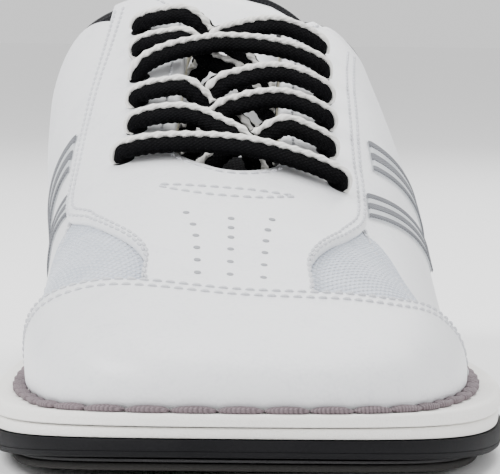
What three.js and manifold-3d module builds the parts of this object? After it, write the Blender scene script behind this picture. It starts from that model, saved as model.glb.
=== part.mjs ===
// A laced bowling shoe for the left foot, built over a last.
//
// Every leather, fabric and foam piece of the upper is cut as a flat pattern and then wrapped onto the
// last, at its own height above the last's surface. The pattern is drawn in plan: the middle line of the
// pattern runs over the crest of the foot, and its rim is the feather line, where upper and sole meet.
// Millimetres. Z is up, the toe points to -Y, and -X is the inner (medial) side of the foot.

import * as THREE from 'three';
import { mergeVertices } from 'three/addons/utils/BufferGeometryUtils.js';
import Module from 'manifold-3d';

const wasm = await Module();
wasm.setup();

// ---- Driving dimensions ----
const soleLength = 306;
const soleWidth = 112;
const instepHeight = 116;          // crest of the last above the floor, over the ankle
const toeSpring = 6;               // how far the sole lifts off the floor at the toe tip
const heelRise = 9;                // how much higher the heel seat is than the ball
const seam = 0.3;                  // clearance between pieces that touch

const padThickness = 1.4;          // suede or rubber sheet that meets the lane
const hookThickness = 0.6;         // hook fabric that holds the sheet
const slabThickness = 5;           // black outsole
const midsoleThickness = 3;        // lower pale layer
const weltThickness = 3.6;         // upper pale layer, which carries the seam
const weltWidth = 10.6;            // ledge outside the upper, at the ball
const toeWeltWidth = 7;            // the same ledge at the toe tip
const heelWeltWidth = 4.4;         // the same ledge round the heel
const toeThinning = 0.28;          // share of the sole stack that is skived away at the toe tip

const overlayThickness = 1.5;      // toe cap, vamp and eyestay leather
const fabricThickness = 1.2;       // mesh panels and quarters
const paddingThickness = 1.9;      // foam, toe puff and heel counter
const liningThickness = 1.3;
const boardThickness = 1.6;        // lasting board under the footbed
const footbedThickness = 4;
const threadRadius = 1.1;          // welt seam's cord
const threadClearance = 1.2;       // between the cord and the upper, which swells above its foot
const shankWidth = 14;
const shankThickness = 1.2;

const eyeletRows = 6;
const firstRowY = -40;
const rowPitch = 15.6;
const eyeletReach = 22;            // from the crest line to an eyelet, over the surface
const firstEyeletReach = 24.5;
const laceDiameter = 3.6;          // of the lace where it is gathered
const eyeletClearance = 2.45;       // round the lace in its eyelet
const eyeletHole = laceDiameter + 2 * eyeletClearance;
const agletLength = 20;
const perforationDiameter = 2;

const tongueClearance = 1.2;       // between the tongue and the lace over it
const tongueLift = 5;              // how far the tongue's top end rises from there
const tongueFoam = 3.3;
const tongueSkin = 1.2;

// ---- The last ----
const drawnLength = 306;           // sizes that the outlines below are drawn at
const drawnWidth = 112;
const drawnInstep = 116;
const lengthGrade = soleLength / drawnLength;
const widthGrade = soleWidth / drawnWidth;
const instepGrade = instepHeight / drawnInstep;
const toeFanY = -66 * lengthGrade; // the sections fan round the toe ahead of this
const heelFanY = 108 * lengthGrade;
const sectionSamples = 24;

// Control points of the outsole's outline, anticlockwise from the toe tip.
const soleOutline = [
  [-7, -153.5], [19.5, -150], [40, -135], [52.5, -107], [57.3, -70], [54.5, -32], [48, 5], [41.5, 40],
  [36.5, 75], [34, 105], [29, 134], [10, 152.5], [-10, 155], [-31, 152.5], [-46, 134], [-51, 105],
  [-49.5, 75], [-48.5, 40], [-50, 5], [-54.5, -32], [-57.3, -72], [-55, -108], [-45.5, -136], [-28, -151],
];

// Crest of the last, as distance along the foot and height.
const crestLine = [
  [-175, 29], [-160, 30], [-145, 31.5], [-125, 34], [-106, 38.5], [-80, 47.2], [-41, 61], [0, 76],
  [49, 93.5], [80, 106], [110, 116], [151, 122], [175, 122],
];

const { clamp, smoothstep } = THREE.MathUtils;

// Closed uniform B-spline through a ring of control points.
function splineLoop(points, steps) {
  const loop = [];
  points.forEach((_, i) => {
    const [a, b, c, d] = [-1, 0, 1, 2].map((k) => points[(i + k + points.length) % points.length]);
    for (let step = 0; step < steps; step++) {
      const t = step / steps;
      const weights = [(1 - t) ** 3, 3 * t ** 3 - 6 * t * t + 4, -3 * t ** 3 + 3 * t * t + 3 * t + 1, t ** 3];
      loop.push([0, 1].map((axis) =>
        (weights[0] * a[axis] + weights[1] * b[axis] + weights[2] * c[axis] + weights[3] * d[axis]) / 6));
    }
  });
  return loop;
}

// A closed loop moved inwards by a distance, or by a function of Y.
function insetLoop(loop, distance) {
  const turn = Math.sign(THREE.ShapeUtils.area(loop.map(([x, y]) => ({ x, y }))));
  const inset = typeof distance === 'function' ? (y) => turn * distance(y) : () => turn * distance;
  return loop.map(([x, y], i) => {
    const [fromX, fromY] = loop[(i + loop.length - 1) % loop.length];
    const [toX, toY] = loop[(i + 1) % loop.length];
    const length = Math.hypot(toX - fromX, toY - fromY);
    return [x - inset(y) * (toY - fromY) / length, y + inset(y) * (toX - fromX) / length];
  });
}

const soleLoop = splineLoop(soleOutline.map(([x, y]) => [x * widthGrade, y * lengthGrade]), 12);
const weltAt = (y) => weltWidth
  - (weltWidth - toeWeltWidth) * smoothstep(-y, 112 * lengthGrade, 148 * lengthGrade)
  - (weltWidth - heelWeltWidth) * smoothstep(y, -50 * lengthGrade, 70 * lengthGrade);
const featherLoop = insetLoop(soleLoop, weltAt);

const spineX = (y) => -4.2 - 0.00015 * (y / lengthGrade + 60) ** 2;

// Heights, each a function of the distance along the foot.
const toeShare = (y) => Math.max(-y / lengthGrade - 70, 0) / 81;
const springAt = (y) => toeSpring * toeShare(y) ** 2;
const riseAt = (y) => heelRise * smoothstep(y, -15 * lengthGrade, 95 * lengthGrade);
const slabBottom = padThickness + hookThickness + 2 * seam;
const stackAt = (y, height) => slabBottom + (height - slabBottom) * (1 - toeThinning * toeShare(y) ** 1.5)
  + springAt(y) + riseAt(y);
const slabTop = slabBottom + slabThickness;
const midsoleTop = slabTop + seam + midsoleThickness;
const weltTop = midsoleTop + seam + weltThickness;
const featherZ = (y) => stackAt(y, weltTop) + seam;

// Height of the crest: a cubic through the crest line's points.
function crestZ(y) {
  const along = clamp(y / lengthGrade, crestLine[1][0], crestLine[crestLine.length - 2][0]);
  let i = 1;
  while (i < crestLine.length - 3 && crestLine[i + 1][0] < along) i++;
  const [[y0, z0], [y1, z1], [y2, z2], [y3, z3]] = crestLine.slice(i - 1, i + 3);
  const span = y2 - y1;
  const t = (along - y1) / span;
  const leave = span * (z2 - z0) / (y2 - y0);
  const arrive = span * (z3 - z1) / (y3 - y1);
  const height = (2 * t ** 3 - 3 * t * t + 1) * z1 + (t ** 3 - 2 * t * t + t) * leave
    + (3 * t * t - 2 * t ** 3) * z2 + (t ** 3 - t * t) * arrive;
  return height * instepGrade;
}

// Distance from a point to a loop around it, along a direction.
function rimDistance(loop, x, y, dx, dy) {
  let far = 0;
  loop.forEach(([ax, ay], i) => {
    const [bx, by] = loop[(i + 1) % loop.length];
    const sideA = dx * (ay - y) - dy * (ax - x);
    const sideB = dx * (by - y) - dy * (bx - x);
    if ((sideA < 0) === (sideB < 0)) return;
    const t = sideA / (sideA - sideB);
    far = Math.max(far, dx * (ax + (bx - ax) * t - x) + dy * (ay + (by - ay) * t - y));
  });
  return far;
}

// The section of the last that a pattern point lies on, and how far out it is, from 0 to 1.
function rayAt(x, y) {
  const centreY = clamp(y, toeFanY, heelFanY);
  const centreX = spineX(centreY);
  const reach = Math.hypot(x - centreX, y - centreY);
  const dx = reach > 1e-6 ? (x - centreX) / reach : 1;
  const dy = reach > 1e-6 ? (y - centreY) / reach : 0;
  const rim = rimDistance(featherLoop, centreX, centreY, dx, dy);
  return { centreX, centreY, dx, dy, rim, share: Math.min(reach / rim, 1) };
}

// How square a section is: 2 is an ellipse, and more is fuller at the shoulder.
function fullness({ centreY, dx, dy }) {
  const fore = 1 - smoothstep(centreY, -66 * lengthGrade, 30 * lengthGrade);
  const side = 0.5 + 0.5 * dx / (Math.abs(dx) + 0.6 * Math.abs(dy));
  const inner = 3 - 0.1 * fore;
  const outer = 2.5 - 0.5 * fore;
  const across = inner + (outer - inner) * side;
  const end = dy < 0 ? 3.3 : 3.6;
  return across + (end - across) * dy * dy;
}

// Outward swell of the quarters round the ankle.
function swellAt({ centreY, dx, dy, rim }) {
  const y = centreY + Math.max(dy, 0) * dy * rim;
  const most = dx < 0 ? 15 : 10;
  const shape = smoothstep(y, -100 * lengthGrade, 60 * lengthGrade)
    * (1 - 0.6 * smoothstep(y, 95 * lengthGrade, 140 * lengthGrade));
  return most * widthGrade * shape * (1 - 0.5 * Math.max(dy, 0));
}

const cant = 0.09;                 // the crest leans towards the inner side
function sectionPoint(ray, square, swell, angle) {
  const out = Math.max(Math.cos(angle), 0) ** (2 / square);
  const up = Math.sin(angle) ** (2 / square);
  const lean = Math.max(Math.sin(2 * Math.atan2(up, out)), 0) ** 1.1 * (1.15 - 0.75 * up);
  const reach = ray.rim * out + swell * lean;
  const x = ray.centreX + ray.dx * reach;
  const y = ray.centreY + ray.dy * reach;
  const z = featherZ(y) + (crestZ(y) - featherZ(y) + cant * (ray.centreX - x)) * up;
  return new THREE.Vector3(x, y, z);
}

// The last's surface under a pattern point. Shares of the pattern are shares of the section's girth.
function lastPoint(x, y) {
  const ray = rayAt(x, y);
  const square = fullness(ray);
  const swell = swellAt(ray);
  const step = Math.PI / 2 / sectionSamples;
  const girth = [0];
  let previous = sectionPoint(ray, square, swell, 0);
  for (let i = 1; i <= sectionSamples; i++) {
    const next = sectionPoint(ray, square, swell, i * step);
    girth.push(girth[i - 1] + next.distanceTo(previous));
    previous = next;
  }
  const wanted = (1 - ray.share) * girth[sectionSamples];
  let i = 1;
  while (i < sectionSamples && girth[i] < wanted) i++;
  const part = (wanted - girth[i - 1]) / (girth[i] - girth[i - 1]);
  return sectionPoint(ray, square, swell, (i - 1 + part) * step);
}

// Outward normal of the last under a pattern point.
function lastNormal(x, y) {
  const { dx, dy } = rayAt(x, y);
  const step = 0.4;
  const outward = lastPoint(x + step * dx, y + step * dy).sub(lastPoint(x - step * dx, y - step * dy));
  const sideways = lastPoint(x - step * dy, y + step * dx).sub(lastPoint(x + step * dy, y - step * dx));
  return outward.cross(sideways).normalize();
}

// Pattern point at a real distance from the crest line, measured over the surface.
function patternPoint(across, y) {
  const side = Math.sign(across) || 1;
  const rim = side * rimDistance(featherLoop, spineX(y), y, side, 0);
  const steps = 40;
  let girth = 0;
  let previous = lastPoint(spineX(y), y);
  for (let i = 1; i <= steps; i++) {
    const next = lastPoint(spineX(y) + rim * i / steps, y);
    const length = next.distanceTo(previous);
    if (girth + length >= Math.abs(across)) {
      return [spineX(y) + rim * (i - 1 + (Math.abs(across) - girth) / length) / steps, y];
    }
    girth += length;
    previous = next;
  }
  return [spineX(y) + rim, y];
}

// ---- Solids ----
function toSolid(geometry) {
  const bare = geometry.clone();
  bare.deleteAttribute('normal');
  bare.deleteAttribute('uv');
  const merged = mergeVertices(bare, 1e-4);
  const index = merged.index.array;
  const corners = [];
  for (let i = 0; i < index.length; i += 3) {
    const [a, b, c] = index.slice(i, i + 3);
    if (a !== b && b !== c && c !== a) corners.push(a, b, c);
  }
  const mesh = new wasm.Mesh({
    numProp: 3,
    vertProperties: new Float32Array(merged.attributes.position.array),
    triVerts: new Uint32Array(corners),
  });
  return new wasm.Manifold(mesh);
}

function toGeometry(solid, move) {
  const { vertProperties, triVerts } = solid.getMesh();
  const positions = new Float32Array(vertProperties.length);
  for (let i = 0; i < vertProperties.length; i += 3) {
    const [x, y, z] = vertProperties.slice(i, i + 3);
    const point = move ? move(x, y, z) : new THREE.Vector3(x, y, z);
    point.toArray(positions, i);
  }
  const geometry = new THREE.BufferGeometry();
  geometry.setAttribute('position', new THREE.BufferAttribute(positions, 3));
  geometry.setIndex([...triVerts]);
  geometry.computeVertexNormals();
  return geometry;
}

// Sections round the foot, anticlockwise from the outer side of the toe fan.
function makeStations() {
  const sideSteps = 11;
  const heelSteps = 8;
  const toeSteps = 12;
  const list = [];
  const add = (y, angle) => list.push({ x: spineX(y), y, dx: Math.cos(angle), dy: Math.sin(angle) });
  const sideY = (i) => toeFanY + (heelFanY - toeFanY) * i / sideSteps;
  for (let i = 0; i <= sideSteps; i++) add(sideY(i), 0);
  for (let i = 1; i < heelSteps; i++) add(heelFanY, Math.PI * i / heelSteps);
  for (let i = sideSteps; i >= 0; i--) add(sideY(i), Math.PI);
  for (let i = 1; i < toeSteps; i++) add(toeFanY, Math.PI * (1 + i / toeSteps));
  return list;
}
const stations = makeStations();
const featherRim = (inset) => ({ x, y, dx, dy }) => rimDistance(featherLoop, x, y, dx, dy) - inset;
const soleRim = (inset) => ({ x, y, dx, dy }) => rimDistance(soleLoop, x, y, dx, dy) - inset;

// A plate over the stations: rings at shares of the rim, between a bottom and a top surface.
function ringSolid(rimOf, shares, bottomOf, topOf) {
  const positions = [];
  for (const heightOf of [bottomOf, topOf]) {
    for (const share of shares) {
      for (const station of stations) {
        const reach = rimOf(station) * share;
        const x = station.x + station.dx * reach;
        const y = station.y + station.dy * reach;
        positions.push(x, y, heightOf(x, y));
      }
    }
  }
  const count = stations.length;
  const at = (level, ring, k) => (level * shares.length + ring) * count + k % count;
  const last = shares.length - 1;
  const faces = [];
  const quad = (a, b, c, d) => faces.push(a, b, c, a, c, d);
  for (let k = 0; k < count; k++) {
    for (let ring = 0; ring < last; ring++) {
      quad(at(1, ring, k), at(1, ring + 1, k), at(1, ring + 1, k + 1), at(1, ring, k + 1));
      quad(at(0, ring, k), at(0, ring, k + 1), at(0, ring + 1, k + 1), at(0, ring + 1, k));
    }
    quad(at(0, last, k), at(0, last, k + 1), at(1, last, k + 1), at(1, last, k));
    if (shares[0] > 0) quad(at(1, 0, k), at(1, 0, k + 1), at(0, 0, k + 1), at(0, 0, k));
  }
  const geometry = new THREE.BufferGeometry();
  geometry.setAttribute('position', new THREE.BufferAttribute(new Float32Array(positions), 3));
  geometry.setIndex(faces);
  return toSolid(geometry);
}

// A tall prism over a plan outline, for cutting.
function prism(loop, low = -60, high = 160) {
  const shape = new THREE.Shape(loop.map(([x, y]) => new THREE.Vector2(x, y)));
  const geometry = new THREE.ExtrudeGeometry(shape, { depth: high - low, bevelEnabled: false });
  geometry.translate(0, 0, low);
  return toSolid(geometry);
}

// A smooth closed outline through pattern points.
function smoothLoop(points, divisions = 3) {
  const curve = new THREE.CatmullRomCurve3(
    points.map(([x, y]) => new THREE.Vector3(x * widthGrade, y * lengthGrade, 0)), true, 'centripetal');
  return curve.getPoints(points.length * divisions).slice(0, -1).map(({ x, y }) => [x, y]);
}

function circleLoop([x, y], radius, sides) {
  return Array.from({ length: sides }, (_, i) => {
    const angle = 2 * Math.PI * i / sides;
    return [x + radius * Math.cos(angle), y + radius * Math.sin(angle)];
  });
}

const fineShares = [0, 0.16, 0.34, 0.52, 0.7, 0.86, 1];
// The last is faceted once, and every piece follows the same facets, so that its layers stay parallel.
function makeFacets() {
  const corners = fineShares.map((share) => stations.map((station) => {
    const reach = featherRim(0)(station) * share;
    const x = station.x + station.dx * reach;
    const y = station.y + station.dy * reach;
    const normal = lastNormal(x, y);
    if (share === 1) normal.setZ(0).normalize();
    return { x, y, point: lastPoint(x, y), normal };
  }));
  const list = [];
  for (let ring = 0; ring < fineShares.length - 1; ring++) {
    for (let k = 0; k < stations.length; k++) {
      const next = (k + 1) % stations.length;
      const [a, b] = [corners[ring][k], corners[ring + 1][k]];
      const [c, d] = [corners[ring + 1][next], corners[ring][next]];
      list.push([a, b, c], [a, c, d]);
    }
  }
  return list.map((facet) => {
    const [a, b, c] = facet;
    return { facet, area: (b.x - a.x) * (c.y - a.y) - (b.y - a.y) * (c.x - a.x) };
  }).filter(({ area }) => area > 1e-4);
}
const facets = makeFacets();

// A point at a height above the faceted last.
function skinPoint(x, y, height) {
  let best = { least: -Infinity };
  for (const { facet, area } of facets) {
    const [a, b, c] = facet;
    const toB = ((x - a.x) * (c.y - a.y) - (y - a.y) * (c.x - a.x)) / area;
    const toC = ((b.x - a.x) * (y - a.y) - (b.y - a.y) * (x - a.x)) / area;
    const least = Math.min(toB, toC, 1 - toB - toC);
    if (least > best.least) best = { least, facet, weights: [1 - toB - toC, toB, toC] };
    if (least >= 0) break;
  }
  const place = new THREE.Vector3();
  best.facet.forEach(({ point, normal }, i) => {
    place.addScaledVector(point, best.weights[i]).addScaledVector(normal, best.weights[i] * height);
  });
  return place;
}

// A slight crown keeps the pattern's flat faces divided while they are cut.
const crown = (x, y) => (x / 80) ** 2 + (y / 110) ** 2;

// A pattern piece between two heights, inside a loop and outside the cuts, wrapped onto the last.
function wrapPanel(loop, low, high, cuts = []) {
  const lowAt = typeof low === 'function' ? low : () => low;
  const highAt = typeof high === 'function' ? high : () => high;
  let solid = ringSolid(featherRim(0), fineShares,
    (x, y) => lowAt(y) + crown(x, y), (x, y) => highAt(y) + crown(x, y));
  if (loop) solid = solid.intersect(prism(insetLoop(loop, seam * 0.6)));
  for (const cut of cuts) solid = solid.subtract(prism(cut));
  return toGeometry(solid, (x, y, height) => skinPoint(x, y, height - crown(x, y)));
}

// ---- Pattern outlines, drawn at the drawn size ----
const middle = -4.2;
// The same outline on the other side of the crest line, kept anticlockwise.
const mirrored = (points) => points.map(([x, y]) => [2 * middle - x, y]).reverse();

const openingPoints = [
  [middle, -46.5], [0.5, -43.5], [3, -36], [2, -18], [1.2, 0], [0.6, 25], [0, 46], [0, 57], [3.5, 67],
  [8, 80], [10.5, 94], [9.5, 108], [5.5, 119], [-1, 126.5], [-9, 129], [-17, 126.5], [-25, 119],
  [-30, 108], [-31, 93], [-27.5, 79], [-19.5, 67], [-12, 57], [-9, 46], [-9.4, 25], [-9.8, 0],
  [-10.4, -18], [-11.4, -36], [-8.9, -43.5],
];
const opening = smoothLoop(openingPoints, 2);

const capPoints = [
  [-60, -66], [-48, -67], [-38, -78], [-30, -95], [-20, -104], [middle, -107], [12, -104], [24, -95],
  [31, -81], [40, -69], [50, -63], [62, -63], [62, -165], [-60, -165],
].reverse();

const vampOuter = [
  [12, -106], [11, -91], [11.5, -82], [13.5, -72], [16, -63], [17.5, -54], [17.2, -44], [16, -34],
  [14, -19], [12, 0], [10, 25], [9, 45], [8, 62],
];
const vampPoints = [...vampOuter, ...mirrored(vampOuter)];

const quarterFront = [[18, -52], [21, -65], [27, -74], [31, -86], [44, -76], [70, -60]];
const quarterPoints = [
  ...[...quarterFront].reverse(), [16, -40], [15, -19], [12.5, 0], [10.5, 25], [9, 45], [7, 53], [-3, 58],
  [-20, 75], [-20, 190], [110, 190], [110, 0],
];

// ---- Materials ----
function finish(color, roughness, metalness = 0) {
  return new THREE.MeshStandardMaterial({ color, roughness, metalness });
}
const finishes = {
  whiteLeather: finish(0xe9ebee, 0.45),
  whiteMesh: finish(0xdfe5ee, 0.75),
  greyTrim: finish(0xb4b8bd, 0.5),
  blackLining: finish(0x141416, 0.85),
  paleSuede: finish(0xefeae0, 0.9),
  blackRubber: finish(0x131313, 0.55),
  slideSuede: finish(0x3a3836, 0.95),
  hookFabric: finish(0x202022, 0.9),
  seamThread: finish(0x8c7d82, 0.8),
  lace: finish(0x17171a, 0.85),
  foam: finish(0xcfc8a8, 0.95),
  board: finish(0xb89a72, 0.9),
  steel: finish(0x9aa0a6, 0.35, 0.9),
  clearPlastic: finish(0x1d1d20, 0.3),
};

const shoe = new THREE.Group();
function addNode(name, geometry, material) {
  const mesh = new THREE.Mesh(geometry, material);
  mesh.name = name;
  shoe.add(mesh);
}

// ---- Sole ----
const halfPlane = (fromY, toY) => [[-90, fromY], [90, fromY], [90, toY], [-90, toY]]
  .map(([x, y]) => [x * widthGrade, y * lengthGrade]);
const soleShares = [0, 0.45, 0.8, 1];

function solePlate(inset, bottom, top, region = null) {
  const solid = ringSolid(soleRim(inset), soleShares, (x, y) => bottom(y), (x, y) => top(y));
  return toGeometry(region ? solid.intersect(prism(region)) : solid);
}

function addBottomPads() {
  const forepart = halfPlane(-170, 8);
  const heel = halfPlane(54, 170);
  const inset = 5;
  const sheet = (y) => springAt(y) + padThickness;
  const hookBottom = (y) => sheet(y) + seam;
  const hookTop = (y) => hookBottom(y) + hookThickness;
  addNode('slide_sole_pad', solePlate(inset, springAt, sheet, forepart), finishes.slideSuede);
  addNode('slide_sole_hook_sheet', solePlate(inset + 0.5, hookBottom, hookTop, forepart), finishes.hookFabric);
  addNode('heel_brake_pad', solePlate(inset, springAt, sheet, heel), finishes.blackRubber);
  addNode('heel_brake_hook_sheet', solePlate(inset + 0.5, hookBottom, hookTop, heel), finishes.hookFabric);
  const blockBottom = () => slabBottom;
  const blockTop = (y) => stackAt(y, slabBottom) - seam;
  addNode('heel_block', solePlate(0.4, blockBottom, blockTop, halfPlane(52, 170)), finishes.blackRubber);
}

function addSoleLayers() {
  const layer = (low, high) => [(y) => stackAt(y, low), (y) => stackAt(y, high)];
  addNode('outsole', solePlate(0, ...layer(slabBottom, slabTop)), finishes.blackRubber);
  addNode('midsole', solePlate(0.6, ...layer(slabTop + seam, midsoleTop)), finishes.paleSuede);
  const welt = layer(midsoleTop + seam, weltTop).map((height) => (x, y) => height(y));
  const inner = soleShares[2];
  addNode('welt', toGeometry(ringSolid(soleRim(0.2), [inner, 1], ...welt)), finishes.paleSuede);
  const shankSlot = new THREE.BoxGeometry(shankWidth + 2 * seam, 112 * lengthGrade, 60);
  shankSlot.translate(spineX(35), 35 * lengthGrade, 0);
  const filler = ringSolid((station) => soleRim(0.2)(station) * inner - seam, [0, soleShares[1] / inner, 1], ...welt)
    .subtract(toSolid(shankSlot));
  addNode('bottom_filler', toGeometry(filler), finishes.foam);
}

function addShank() {
  const points = [];
  const steps = 10;
  const low = midsoleTop + seam;
  for (let i = 0; i <= steps; i++) points.push([(-18 + 106 * i / steps) * lengthGrade, 0]);
  for (let i = steps; i >= 0; i--) points.push([(-18 + 106 * i / steps) * lengthGrade, shankThickness]);
  const shape = new THREE.Shape(points.map(([y, z]) => new THREE.Vector2(y, z + stackAt(y, low))));
  const geometry = new THREE.ExtrudeGeometry(shape, { depth: shankWidth, bevelEnabled: false });
  geometry.rotateX(Math.PI / 2).rotateZ(Math.PI / 2);
  geometry.translate(spineX(35) - shankWidth / 2, 0, 0);
  addNode('shank', geometry, finishes.steel);
}

function addInsole() {
  const wall = 3 * seam + fabricThickness + paddingThickness + liningThickness;
  const toeRoom = (y) => 7 * lengthGrade * smoothstep(-y, 85 * lengthGrade, 150 * lengthGrade);
  const boardLoop = insetLoop(featherLoop, (y) => wall + 0.6 * lengthGrade + 0.1 * toeRoom(y));
  const footbedLoop = insetLoop(featherLoop, (y) => wall + 2 + toeRoom(y));
  const rimOf = (loop) => ({ x, y, dx, dy }) => rimDistance(loop, x, y, dx, dy);
  const boardTop = (x, y) => featherZ(y) + boardThickness;
  const board = ringSolid(rimOf(boardLoop), soleShares, (x, y) => featherZ(y), boardTop);
  addNode('lasting_board', toGeometry(board), finishes.board);
  const footbed = ringSolid(rimOf(footbedLoop), soleShares, (x, y) => boardTop(x, y) + seam,
    (x, y) => boardTop(x, y) + seam + footbedThickness);
  addNode('footbed', toGeometry(footbed), finishes.foam);
}

// The welt seam: one cord laid round the foot of the upper.
function addWeltSeam() {
  const sides = 6;
  const reach = overlayThickness + seam + threadClearance + threadRadius;
  const positions = [];
  for (const station of stations) {
    const rim = featherRim(-reach)(station);
    for (let k = 0; k < sides; k++) {
      const angle = 2 * Math.PI * k / sides;
      const out = rim + threadRadius * Math.cos(angle);
      const y = station.y + station.dy * out;
      const z = stackAt(station.y + station.dy * rim, weltTop) + seam + threadRadius * (1 + Math.sin(angle));
      positions.push(station.x + station.dx * out, y, z);
    }
  }
  const faces = [];
  const at = (i, k) => (i % stations.length) * sides + k % sides;
  for (let i = 0; i < stations.length; i++) {
    for (let k = 0; k < sides; k++) {
      faces.push(at(i, k), at(i + 1, k), at(i + 1, k + 1), at(i, k), at(i + 1, k + 1), at(i, k + 1));
    }
  }
  const geometry = new THREE.BufferGeometry();
  geometry.setAttribute('position', new THREE.BufferAttribute(new Float32Array(positions), 3));
  geometry.setIndex(faces);
  addNode('welt_seam', toGeometry(toSolid(geometry)), finishes.seamThread);
}

// ---- Upper ----
const fabricLow = -fabricThickness;
const paddingHigh = fabricLow - seam;
const paddingLow = paddingHigh - paddingThickness;
const liningHigh = paddingLow - seam;
const liningLow = liningHigh - liningThickness;
const overlayLow = seam;
const overlayHigh = overlayLow + overlayThickness;

const rowY = (row) => (firstRowY + rowPitch * row) * lengthGrade;
const eyeletAcross = (row) => (row === 0 ? firstEyeletReach : eyeletReach);
const eyelets = [];
for (let row = 0; row < eyeletRows; row++) {
  for (const side of [-1, 1]) eyelets.push(patternPoint(side * eyeletAcross(row), rowY(row)));
}
// In the pattern the surface is drawn narrower than it is, so holes are cut as ellipses.
function holeLoops(centres, diameter, sides) {
  return centres.map(([x, y]) => {
    const stretch = lastPoint(x + 0.5, y).distanceTo(lastPoint(x - 0.5, y));
    return circleLoop([0, 0], diameter / 2, sides).map(([u, v]) => [x + u / stretch, y + v]);
  });
}

function perforations() {
  const centres = [];
  for (const column of [-1, 0, 1]) {
    for (let row = 0; row < 6; row++) {
      centres.push([middle * widthGrade + column * (7.5 - 0.4 * row), (-66 - 6.6 * row) * lengthGrade]);
    }
  }
  return holeLoops(centres, perforationDiameter, 4);
}

function addOverlays() {
  const cap = smoothLoop(capPoints);
  const eyeletLoops = holeLoops(eyelets, eyeletHole, 6);
  addNode('toe_cap', wrapPanel(cap, overlayLow, overlayHigh), finishes.whiteLeather);
  const cuts = [opening, insetLoop(cap, -seam), ...eyeletLoops, ...perforations()];
  addNode('vamp_eyestay', wrapPanel(smoothLoop(vampPoints), overlayLow, overlayHigh, cuts),
    finishes.whiteLeather);
}

const backX = spineX(heelFanY);
const rectangle = (x0, x1, y0, y1) => [[x0, y0], [x1, y0], [x1, y1], [x0, y1]]
  .map(([x, y]) => [x * widthGrade, y * lengthGrade]);
const far = 200;
const throatY = -48;
const heelY = 88;

// Both sides of the upper behind the vamp, and the mesh beside it.
function addSides() {
  const holes = holeLoops(eyelets, eyeletHole, 6);
  for (const [side, name] of [[-1, 'medial'], [1, 'lateral']]) {
    const points = side > 0 ? quarterPoints : mirrored(quarterPoints);
    const quarter = smoothLoop(points);
    const vampHalf = side > 0 ? rectangle(middle, far, -far, throatY) : rectangle(-far, middle, -far, throatY);
    const stayHalf = side > 0 ? rectangle(middle, far, throatY, 56) : rectangle(-far, middle, throatY, 56);
    const otherHalf = side > 0 ? [[-far, -far], [backX + seam / 2, -far], [backX + seam / 2, far], [-far, far]]
      : [[backX - seam / 2, -far], [far, -far], [far, far], [backX - seam / 2, far]];
    const clearOfQuarter = insetLoop(quarter, -seam);
    addNode(`mesh_panel_${name}`, wrapPanel(vampHalf, fabricLow, 0, [clearOfQuarter]), finishes.whiteMesh);
    addNode(`quarter_${name}`, wrapPanel(quarter, fabricLow, 0, [opening, otherHalf]), finishes.whiteLeather);
    addNode(`eyestay_backing_${name}`,
      wrapPanel(stayHalf, fabricLow, 0, [opening, clearOfQuarter, ...holes]), finishes.foam);
    const sideHalf = side > 0 ? rectangle(middle, far, throatY, heelY) : rectangle(-far, middle, throatY, heelY);
    addNode(`quarter_foam_${name}`,
      wrapPanel(sideHalf, paddingLow, paddingHigh, [opening, ...holes]), finishes.foam);
    addNode(`quarter_lining_${name}`,
      wrapPanel(sideHalf, liningLow, liningHigh, [opening, ...holes]), finishes.blackLining);
  }
}

function addForepart() {
  const cap = smoothLoop(capPoints);
  const front = rectangle(-far, far, -far, throatY);
  addNode('toe_puff', wrapPanel(insetLoop(cap, 1), paddingLow, paddingHigh), finishes.board);
  addNode('vamp_foam', wrapPanel(front, paddingLow, paddingHigh, [cap]), finishes.foam);
  addNode('vamp_lining', wrapPanel(front, liningLow, liningHigh), finishes.blackLining);
}

function addHeel() {
  const back = rectangle(-far, far, heelY, far);
  const rim = insetLoop(opening, -5.5);
  addNode('heel_counter', wrapPanel(back, paddingLow, paddingHigh, [rim]), finishes.board);
  addNode('collar_padding', wrapPanel(insetLoop(rim, seam), paddingLow, paddingHigh,
    [opening, rectangle(-far, far, -far, heelY + seam)]), finishes.foam);
  addNode('heel_lining', wrapPanel(back, liningLow, liningHigh, [opening]), finishes.blackLining);
  const foxing = smoothLoop([[-60, 104], [-38, 112], [-26, 127], [-17, 134], [-7.4, 136.5], [2, 134],
    [11, 127], [23, 112], [60, 104], [60, 175], [-60, 175]]);
  addNode('heel_foxing', wrapPanel(foxing, overlayLow, overlayHigh), finishes.whiteLeather);
  const tab = rectangle(-12, -3, 130.5, 135.4);
  addNode('heel_tab', wrapPanel(tab, overlayLow, overlayHigh, [opening, insetLoop(foxing, -seam)]),
    finishes.greyTrim);
}

// Two slanting stripe patches on each quarter, drawn for the outer side.
const stripeLow = 1.2 * seam;
const stripeThickness = 0.6;
const stripePatches = {
  upper: [[13, 4], [15.5, -12], [29, 14], [28, 30]],
  lower: [[15.8, -30], [17.4, -43], [31, -16], [30, -2]],
};
function addStripes() {
  for (const [side, name] of [[-1, 'medial'], [1, 'lateral']]) {
    for (const [place, stripe] of Object.entries(stripePatches)) {
      const loop = (side > 0 ? stripe : mirrored(stripe)).map(([x, y]) => [x * widthGrade, y * lengthGrade]);
      addNode(`side_stripe_${name}_${place}`,
        wrapPanel(loop, stripeLow, stripeLow + stripeThickness, [smoothLoop(vampPoints)]), finishes.greyTrim);
    }
  }
}

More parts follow.
